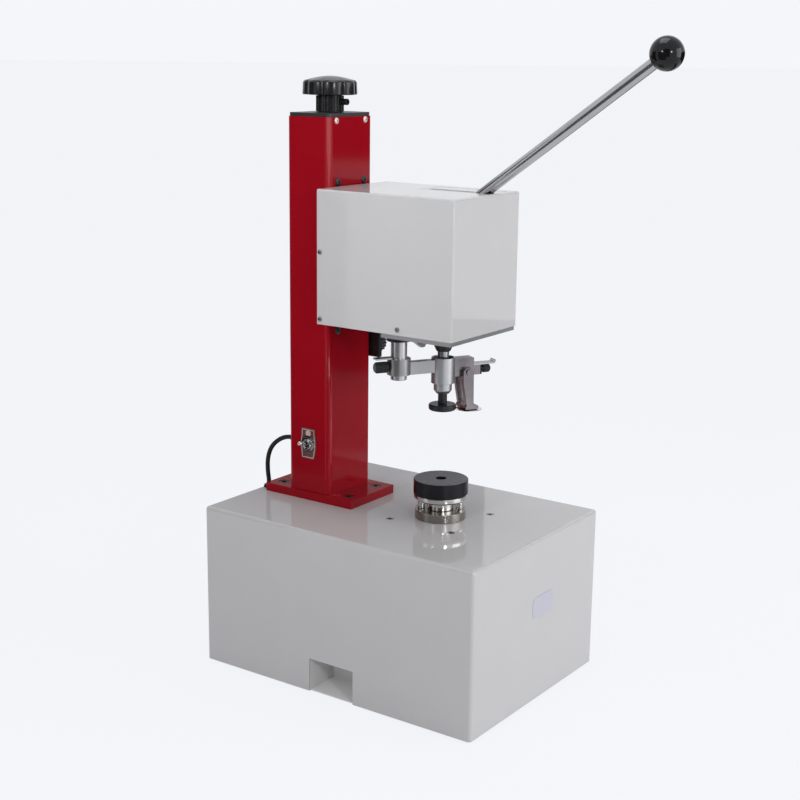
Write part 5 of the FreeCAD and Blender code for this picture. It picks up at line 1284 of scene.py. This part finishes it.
@dataclass
class Head(Assembly):
    """The head that slides on the column, with its cover, floor and lock."""

    half_width: float = 66.0
    gate_top: float = 556.25
    gate_depth: float = 9.0
    gate_slot: float = 13.3
    gate_span: tuple[float, float] = (-100.85, -14.15)
    gate_sides: tuple[float, float] = (5.15, 49.85)
    rod_clearance: float = 6.3
    nose_ring: Profile = ((6.7, 382), (7.8, 382), (11.1, 389.0), (11.1, 390), (9.0, 390),
                          (9.0, 388), (6.7, 388))
    post_bush: Profile = ((9.05, 397.5), (14.0, 397.5), (14.0, 402), (11.0, 402), (11.0, 407),
                          (9.05, 407))
    cover_screw: Screw = Screw(HeadForm.BUTTON, 2.9, 2.0, 1.2, 3.0)
    cover_screw_places: Profile = ((67.5, 487.5), (67.5, 413.0), (-37.7, 413.0))
    lock_centre: Spot = (40.0, 80.0, 366.0)
    lock_core: Profile = ((0, 0.3), (4.0, 0.3), (4.0, 8.0), (6.0, 8.0), (6.0, 11.0), (10.2, 11.6),
                          (10.2, 24.0), (8.5, 25.0), (0, 25.0))
    lock_rib_count: int = 16
    lock_rib_circle: float = 10.1
    lock_rib_radius: float = 1.25
    lock_rib_length: float = 11.0
    lock_rib_reach: float = 18.0

    def build(self) -> None:
        """Makes the head's pieces."""
        self.copy("head_sheet_cover", "head_cover", ENAMEL, Body.HEAD)
        self._gate()
        self.copy("head_floor_plate", "head_floor", SHEET, Body.HEAD, edge=0.3)
        self.copy("head_carriage", "carriage_plate", SHEET, Body.HEAD)
        self.copy("head_lock_bracket", "lock_bracket", BLACK, Body.HEAD, edge=0.4)
        self.copy("pinion_shaft_brackets", "shaft_brackets", SHEET, Body.HEAD)
        self.copy("quill_guide_block", "quill_guide", STEEL, Body.HEAD)
        self.copy("bronze_lift_nut", "lift_nut", BRONZE, Body.HEAD)
        self.add("quill_nose_ring", lathe(soften(self.nose_ring, 0.3), 64), OXIDE, Body.HEAD,
                 "nose_seal", place=upright(*SPINDLE))
        self.add("post_guide_bush", lathe(soften(self.post_bush, 0.4), 64), OXIDE, Body.HEAD,
                 "post_bush", place=upright(*POST))
        places = [((self.half_width * side, y, z), (float(side), 0.0, 0.0))
                  for side in SIDES for y, z in self.cover_screw_places]
        self.fasteners("cover_button_screws", self.cover_screw.head(), WORN_SCREW, Body.HEAD,
                       "cover_screws", places)
        self._lock_knob()

    def _gate(self) -> None:
        """Makes the inset in the cover's slot that guides the lever rod on both sides."""
        front, rear = self.gate_span
        low, high = self.gate_sides
        left, right = (LEVER_PIVOT[0] + side * self.gate_slot / 2 for side in SIDES)
        stop = rear - self.rod_clearance
        outline = [(low, front), (left, front), (left, stop), (right, stop), (right, front),
                   (high, front), (high, rear), (low, rear)]
        form = prism(outline, self.gate_top - self.gate_depth, self.gate_top, 0.12)
        self.add("lever_gate_inset", form, ENAMEL, Body.HEAD)

    def _lock_knob(self) -> None:
        """Makes the fluted knob that clamps the head to the column."""
        self.add("head_lock_core", lathe(soften(self.lock_core, 0.6), 48), BLACK, Body.LOCK,
                 "lock_knob", place=aimed(self.lock_centre, (1.0, 0.0, 0.0)))
        x, y, z = self.lock_centre
        self.ribs("head_lock_ribs", BLACK, Body.LOCK, self.lock_rib_count, self.lock_rib_circle,
                  self.lock_rib_radius, self.lock_rib_length, (x + self.lock_rib_reach, y, z),
                  (0.0, math.pi / 2, 0.0))


@dataclass
class Lever(Assembly):
    """The hand lever with its ball, hub, cross shaft and pinion."""

    reach: float = 338.3
    rod_radius: float = 6.3
    rod_start: float = 9.0
    rod_in_ball: float = 10.0
    ball_radius: float = 17.29
    ball_start: float = -62.0
    ball_steps: int = 28

    def build(self) -> None:
        """Makes the lever's pieces."""
        line = aimed(LEVER_PIVOT, LEVER_LINE)
        radius, start = self.rod_radius, self.rod_start
        end = self.reach - self.ball_radius + self.rod_in_ball
        rod = [(0, start), (radius, start), (radius, end), (0, end)]
        self.add("lever_bright_rod", lathe(soften(rod, 0.8), 48), ROD_CHROME, Body.LEVER,
                 "lever_rod", place=line)
        self.add("lever_ball_knob", lathe(self._ball(), 64), BALL, Body.LEVER, "lever_ball",
                 place=line)
        self.copy("lever_clamp_hub", "lever_hub", STEEL, Body.LEVER)
        self.copy("lever_cross_shaft", "cross_shaft", CHROME, Body.LEVER)
        self.copy("lever_pinion", "pinion", STEEL, Body.LEVER)

    def _ball(self) -> Profile:
        """Gives the ball's profile, flat where the rod enters it.

        Returns:
            The (radius, height) points in millimetres along the lever.
        """
        ball = []
        low = math.radians(self.ball_start)
        for step in range(self.ball_steps + 1):
            angle = low + (math.pi / 2 - low) * step / self.ball_steps
            ball.append((self.ball_radius * math.cos(angle),
                         self.reach + self.ball_radius * math.sin(angle)))
        ball[-1] = (0, self.reach + self.ball_radius)
        return [(0, ball[0][1])] + ball


@dataclass(frozen=True)
class ThumbScrew:
    """A black thumb screw on the crossbar, in millimetres along the bar."""

    name: str
    node: str
    body: Body
    reach: float
    way: float
    level: float
    radius: float
    length: float
    shank: float
    shank_radius: float = 3.0
    rib_radius: float = 0.75
    rib_count: int = 18
    rib_inset: float = 3.4

    def profile(self) -> Profile:
        """Gives the profile of the screw's core.

        Returns:
            The (radius, height) points, from the shank's end to the grip's outer face.
        """
        inner, length = self.core_radius(), self.length
        return [(0, -self.shank), (self.shank_radius, -self.shank), (self.shank_radius, 0.5),
                (inner - 0.6, 0.5), (inner, 1.2), (inner, length - 1.0), (inner - 1.0, length),
                (0, length)]

    def core_radius(self) -> float:
        """Gives the radius on which the ribs stand."""
        return self.radius - 0.7


@dataclass
class CrimpUnit(Assembly):
    """The crimping unit under the head: post, crossbar, press and roller fork."""

    cylinder: Profile = ((6.4, 346), (13.2, 346), (13.2, 375), (11.7, 375), (11.7, 360),
                         (6.4, 360))
    collar: Profile = ((5.15, 334), (7.2, 334), (10.2, 338), (10.2, 346), (5.15, 346))
    post: Profile = ((0, 354), (9.0, 354), (9.0, 428), (0, 428))
    stem: Profile = ((0, 317.5), (3.0, 317.5), (3.0, 322.5), (5.1, 322.5), (5.1, 346.2),
                     (6.2, 346.2), (6.2, 348.2), (0, 348.2))
    plate: Profile = ((0, 315.3), (14.3, 315.3), (15.5, 316.8), (15.5, 320.8), (14.3, 322.1),
                      (3.05, 322.1), (3.05, 317.3), (0, 317.3))
    wheel: Profile = ((2.55, 312.5), (12.5, 312.5), (15.0, 313.2), (15.0, 313.7), (12.5, 314.5),
                      (2.55, 314.5))
    wheel_reach: float = 33.0
    give: float = 6.0
    press_seat: float = 348.9
    press_length: float = 34.6
    press_coil: tuple[float, float, float] = (7.0, 3.4, 0.6)
    fork_spring_reach: float = 29.0
    fork_spring_seat: float = 319.8
    fork_spring_length: float = 32.2
    fork_coil: tuple[float, float, float] = (9.0, 2.6, 0.55)
    thumb_screws: tuple[ThumbScrew, ...] = (
        ThumbScrew("clamp_thumb", "clamp_thumb_screw", Body.CLAMP_SCREW,
                   reach=-67.0, way=-1.0, level=369.0, radius=6.3, length=16.0, shank=4.0),
        ThumbScrew("depth_thumb", "depth_thumb_screw", Body.DEPTH_SCREW,
                   reach=48.0, way=1.0, level=358.5, radius=5.0, length=10.0, shank=7.5))

    def build(self) -> None:
        """Makes the unit's pieces."""
        here = upright(*SPINDLE)
        self.copy("quill_with_rack", "quill", STEEL, Body.UNIT)
        self.add("unit_turned_cylinder", lathe(soften(self.cylinder, 0.5), 72), ALUMINIUM,
                 Body.UNIT, "unit_cylinder", place=here)
        self.add("unit_collar_nut", lathe(soften(self.collar, 0.5), 64), ALUMINIUM, Body.UNIT,
                 "collar_nut", place=here)
        self.copy("post_arm_casting", "post_arm", ARM_STEEL, Body.UNIT, edge=0.5)
        self.add("unit_guide_post", lathe(soften(self.post, 1.0), 64), POST_CHROME, Body.UNIT,
                 "guide_post", place=upright(*POST))
        self.copy("crimp_arm_block", "crimp_block", WORN_STEEL, Body.UNIT, edge=0.5)
        self.copy("thumb_screw_leaves", "leaf_strips", STEEL, Body.UNIT)
        for screw in self.thumb_screws:
            self._thumb_screw(screw)
        self._press(here)
        self._fork()

    def _thumb_screw(self, screw: ThumbScrew) -> None:
        """Makes a thumb screw with its grip ribs.

        Args:
            screw: Its sizes and place.
        """
        spot = arm_place(screw.reach, 0.0, screw.level).translation / MM
        line = [value * screw.way for value in ARM_LINE]
        self.add(screw.name + "_core", lathe(soften(screw.profile(), 0.4), 40), BLACK, screw.body,
                 screw.node, place=aimed(spot, line))
        middle = Vector(spot) + Vector(line) * screw.length / 2
        turn = Vector(UP).rotation_difference(Vector(line)).to_euler()
        self.ribs(screw.name + "_ribs", BLACK, screw.body, screw.rib_count,
                  screw.core_radius() - 0.1, screw.rib_radius, screw.length - screw.rib_inset,
                  middle, turn)

    def _press(self, here: Matrix) -> None:
        """Makes the press stem, its plate and the spring that it compresses.

        Args:
            here: The unit's axis.
        """
        self.add("press_black_stem", lathe(soften(self.stem, 0.3), 48), OXIDE, Body.PRESS,
                 "press_stem", place=here)
        self.add("press_black_plate", lathe(soften(self.plate, 0.5), 72), OXIDE, Body.PLATE,
                 "press_disc", place=here)
        turns, radius, wire = self.press_coil
        seat, length = self.press_seat, self.press_length
        coil = self.spring("press_coil_spring", STEEL, Body.UNIT, "press_spring", turns, radius,
                           length, wire, (*SPINDLE[:2], seat))
        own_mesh(coil)

    def _fork(self) -> None:
        """Makes the roller fork with its wheel and spring."""
        self.copy("roller_fork", "crimp_fork", WORN_STEEL, Body.FORK, edge=0.4)
        self.add("crimp_roller_wheel", lathe(self.wheel, 72), CHROME, Body.WHEEL, "crimp_wheel",
                 place=arm_place(self.wheel_reach, 0.0, 0.0))
        turns, radius, wire = self.fork_coil
        spot = arm_place(self.fork_spring_reach, 0.0, self.fork_spring_seat).translation / MM
        self.spring("fork_coil_spring", STEEL, Body.FORK, "fork_spring", turns, radius,
                    self.fork_spring_length, wire, spot)


@dataclass(frozen=True)
class Lamp:
    """A square soft lamp: its place and target in metres, its watts and spread in degrees."""

    name: str
    place: Spot
    target: Spot
    size: float
    power: float
    spread: float = 180.0

    def hang(self) -> None:
        """Puts the lamp in the scene, aimed at its target."""
        data = bpy.data.lights.new(self.name, "AREA")
        data.shape = "SQUARE"
        data.size = self.size
        data.energy = self.power
        data.spread = math.radians(self.spread)
        lamp = bpy.data.objects.new(self.name, data)
        lamp.location = self.place
        line = Vector(self.target) - Vector(self.place)
        lamp.rotation_euler = line.to_track_quat("-Z", "Y").to_euler()
        bpy.context.scene.collection.objects.link(lamp)


@dataclass(frozen=True)
class Card:
    """An upright card that only reflections see, in metres, so that gloss keeps its depth."""

    name: str
    shade: float
    start: tuple[float, float]
    end: tuple[float, float]
    low: float
    high: float

    def stand(self) -> None:
        """Puts the card in the studio."""
        material = bpy.data.materials.new(self.name)
        material.use_nodes = True
        shader = material.node_tree.nodes["Principled BSDF"]
        shader.inputs["Base Color"].default_value = (self.shade, self.shade, self.shade * 1.05, 1.0)
        shader.inputs["Roughness"].default_value = 0.9
        shader.inputs["Specular IOR Level"].default_value = 0.0
        corners = ((*self.start, self.low), (*self.end, self.low), (*self.end, self.high),
                   (*self.start, self.high))
        mesh = bpy.data.meshes.new(self.name)
        mesh.from_pydata(corners, [], [(0, 1, 2, 3)])
        mesh.materials.append(material)
        card = bpy.data.objects.new(self.name, mesh)
        bpy.context.scene.collection.objects.link(card)
        card.visible_camera = False
        card.visible_diffuse = False
        card.visible_shadow = False
        card.visible_transmission = False


@dataclass
class Studio:
    """The pale floor, the soft lamps and the camera."""

    centre: Spot = (-1.31635, -0.92232, 0.70234)
    azimuth: float = -54.87
    elevation: float = 13.45
    roll: float = 0.68
    focal_px: float = 1454.08
    frame_px: float = 800.0
    sensor: float = 36.0
    clip: tuple[float, float] = (0.05, 200.0)
    backdrop: tuple[float, float, float] = (0.905, 0.922, 0.955)
    room_colour: tuple[float, float, float] = (0.96, 0.97, 1.0)
    world_light: float = 0.575
    floor_colour: tuple[float, float, float] = (0.86, 0.875, 0.90)
    floor_radius: float = 90.0
    floor_share: float = 0.90
    floor_glow: float = 1.02
    lamps: tuple[Lamp, ...] = (
        Lamp("key_softbox", (0.8, -2.25, 0.82), (0.0, 0.0, 0.3), 1.6, 22.5),
        Lamp("right_softbox", (-1.3, -2.1, 1.15), (0.0, 0.0, 0.3), 0.26, 9.0),
        Lamp("left_softbox", (-2.0, -0.1, 1.05), (0.0, 0.0, 0.3), 0.22, 3.7),
        Lamp("side_softbox", (-1.5, 0.0, 0.95), (-0.07, 0.0, 0.62), 0.4, 0.30, 32.0),
        Lamp("top_softbox", (0.0, -0.05, 1.5), (0.0, -0.05, 0.3), 0.6, 3.2))
    cards: tuple[Card, ...] = (
        Card("left_card", 0.012, (-0.46, 0.33), (-0.16, 0.95), 0.075, 0.85),
        Card("right_low_card", 0.012, (0.28, -0.66), (0.64, -0.02), 0.205, 0.33),
        Card("right_foot_card", 0.50, (0.28, -0.66), (0.64, -0.02), 0.075, 0.205),
        Card("right_high_card", 0.012, (0.28, -0.66), (0.64, -0.02), 0.54, 0.74),
        Card("rear_card", 0.36, (0.05, 0.95), (0.889, 0.435), 0.20, 0.62),
        Card("camera_card", 0.05, (-1.95, -0.38), (-1.32, -1.52), 0.0, 1.7),
        Card("grey_card", 0.16, (-0.80, -0.62), (-0.80, 0.28), 0.0, 0.85))

    def build(self) -> None:
        """Makes the whole studio."""
        scene = bpy.context.scene
        scene.view_settings.view_transform = "Standard"
        self._camera(scene)
        self._world(scene)
        self._floor(scene)
        for card in self.cards:
            card.stand()
        for lamp in self.lamps:
            lamp.hang()

    def _camera(self, scene: bpy.types.Scene) -> None:
        """Places the camera as the photograph's was.

        Args:
            scene: The scene that looks through it.
        """
        data = bpy.data.cameras.new("photo_camera")
        data.sensor_width = self.sensor
        data.lens = self.focal_px / self.frame_px * self.sensor
        data.clip_start, data.clip_end = self.clip
        turn = math.radians(self.azimuth)
        lift = math.radians(self.elevation)
        back = Vector((math.sin(turn) * math.cos(lift), -math.cos(turn) * math.cos(lift),
                       math.sin(lift)))
        right = (-back).cross(Vector(UP)).normalized()
        up = right.cross(-back)
        lean = math.radians(self.roll)
        across = right * math.cos(lean) + up * math.sin(lean)
        above = -right * math.sin(lean) + up * math.cos(lean)
        pose = Matrix((across, above, back)).transposed().to_4x4()
        pose.translation = Vector(self.centre)
        camera = bpy.data.objects.new("photo_camera", data)
        camera.matrix_world = pose
        scene.collection.objects.link(camera)
        scene.camera = camera

    def _seen(self, tree: bpy.types.NodeTree) -> bpy.types.NodeSocket:
        """Adds the test of what the camera and reflections see.

        Args:
            tree: The node tree of the world or the floor.

        Returns:
            A value of 1 for those rays and 0 for the light on the object.
        """
        path = tree.nodes.new("ShaderNodeLightPath")
        either = tree.nodes.new("ShaderNodeMath")
        either.operation = "MAXIMUM"
        tree.links.new(path.outputs["Is Camera Ray"], either.inputs[0])
        tree.links.new(path.outputs["Is Glossy Ray"], either.inputs[1])
        return either.outputs[0]

    def _world(self, scene: bpy.types.Scene) -> None:
        """Fills the room with soft even light, in front of the plain backdrop.

        Args:
            scene: The scene that gets the world.
        """
        world = bpy.data.worlds.new("pale_room")
        scene.world = world
        world.use_nodes = True
        tree = world.node_tree
        tree.nodes.clear()
        mix = tree.nodes.new("ShaderNodeMixShader")
        tree.links.new(self._seen(tree), mix.inputs["Fac"])
        for place, colour, strength in ((1, self.room_colour, self.world_light),
                                        (2, self.backdrop, 1.0)):
            light = tree.nodes.new("ShaderNodeBackground")
            light.inputs["Color"].default_value = (*colour, 1.0)
            light.inputs["Strength"].default_value = strength
            tree.links.new(light.outputs[0], mix.inputs[place])
        result = tree.nodes.new("ShaderNodeOutputWorld")
        tree.links.new(mix.outputs[0], result.inputs["Surface"])

    def _floor(self, scene: bpy.types.Scene) -> None:
        """Lays the plain pale floor, which keeps the object's shadow.

        Args:
            scene: The scene that gets the floor.
        """
        form = bmesh.new()
        bmesh.ops.create_circle(form, cap_ends=True, radius=self.floor_radius, segments=96)
        mesh = bpy.data.meshes.new("studio_floor")
        form.to_mesh(mesh)
        form.free()
        material = bpy.data.materials.new("pale_floor")
        material.use_nodes = True
        tree = material.node_tree
        shader = tree.nodes["Principled BSDF"]
        shader.inputs["Base Color"].default_value = (*self.floor_colour, 1.0)
        shader.inputs["Roughness"].default_value = 0.6
        shader.inputs["Specular IOR Level"].default_value = 0.1
        shown = tree.nodes.new("ShaderNodeEmission")
        shown.inputs["Color"].default_value = (*self.backdrop, 1.0)
        shown.inputs["Strength"].default_value = self.floor_glow
        share = tree.nodes.new("ShaderNodeMath")
        share.operation = "MULTIPLY"
        share.inputs[1].default_value = self.floor_share
        tree.links.new(self._seen(tree), share.inputs[0])
        mix = tree.nodes.new("ShaderNodeMixShader")
        tree.links.new(share.outputs[0], mix.inputs["Fac"])
        tree.links.new(shader.outputs[0], mix.inputs[1])
        tree.links.new(shown.outputs[0], mix.inputs[2])
        tree.links.new(mix.outputs[0], tree.nodes["Material Output"].inputs["Surface"])
        mesh.materials.append(material)
        floor = bpy.data.objects.new("studio_floor", mesh)
        scene.collection.objects.link(floor)


def main() -> None:
    """Builds the machine and its studio, and reports each piece."""
    logging.basicConfig(level=logging.INFO, format="%(message)s")
    for kind in (BaseUnit, Turntable, Column, ToggleSwitch, Head, Lever, CrimpUnit):
        assembly = kind()
        assembly.build()
        for piece in assembly.pieces:
            LOG.info("%s: %s", kind.__name__, piece.name)
    Studio().build()


if __name__ == "__main__":
    main()
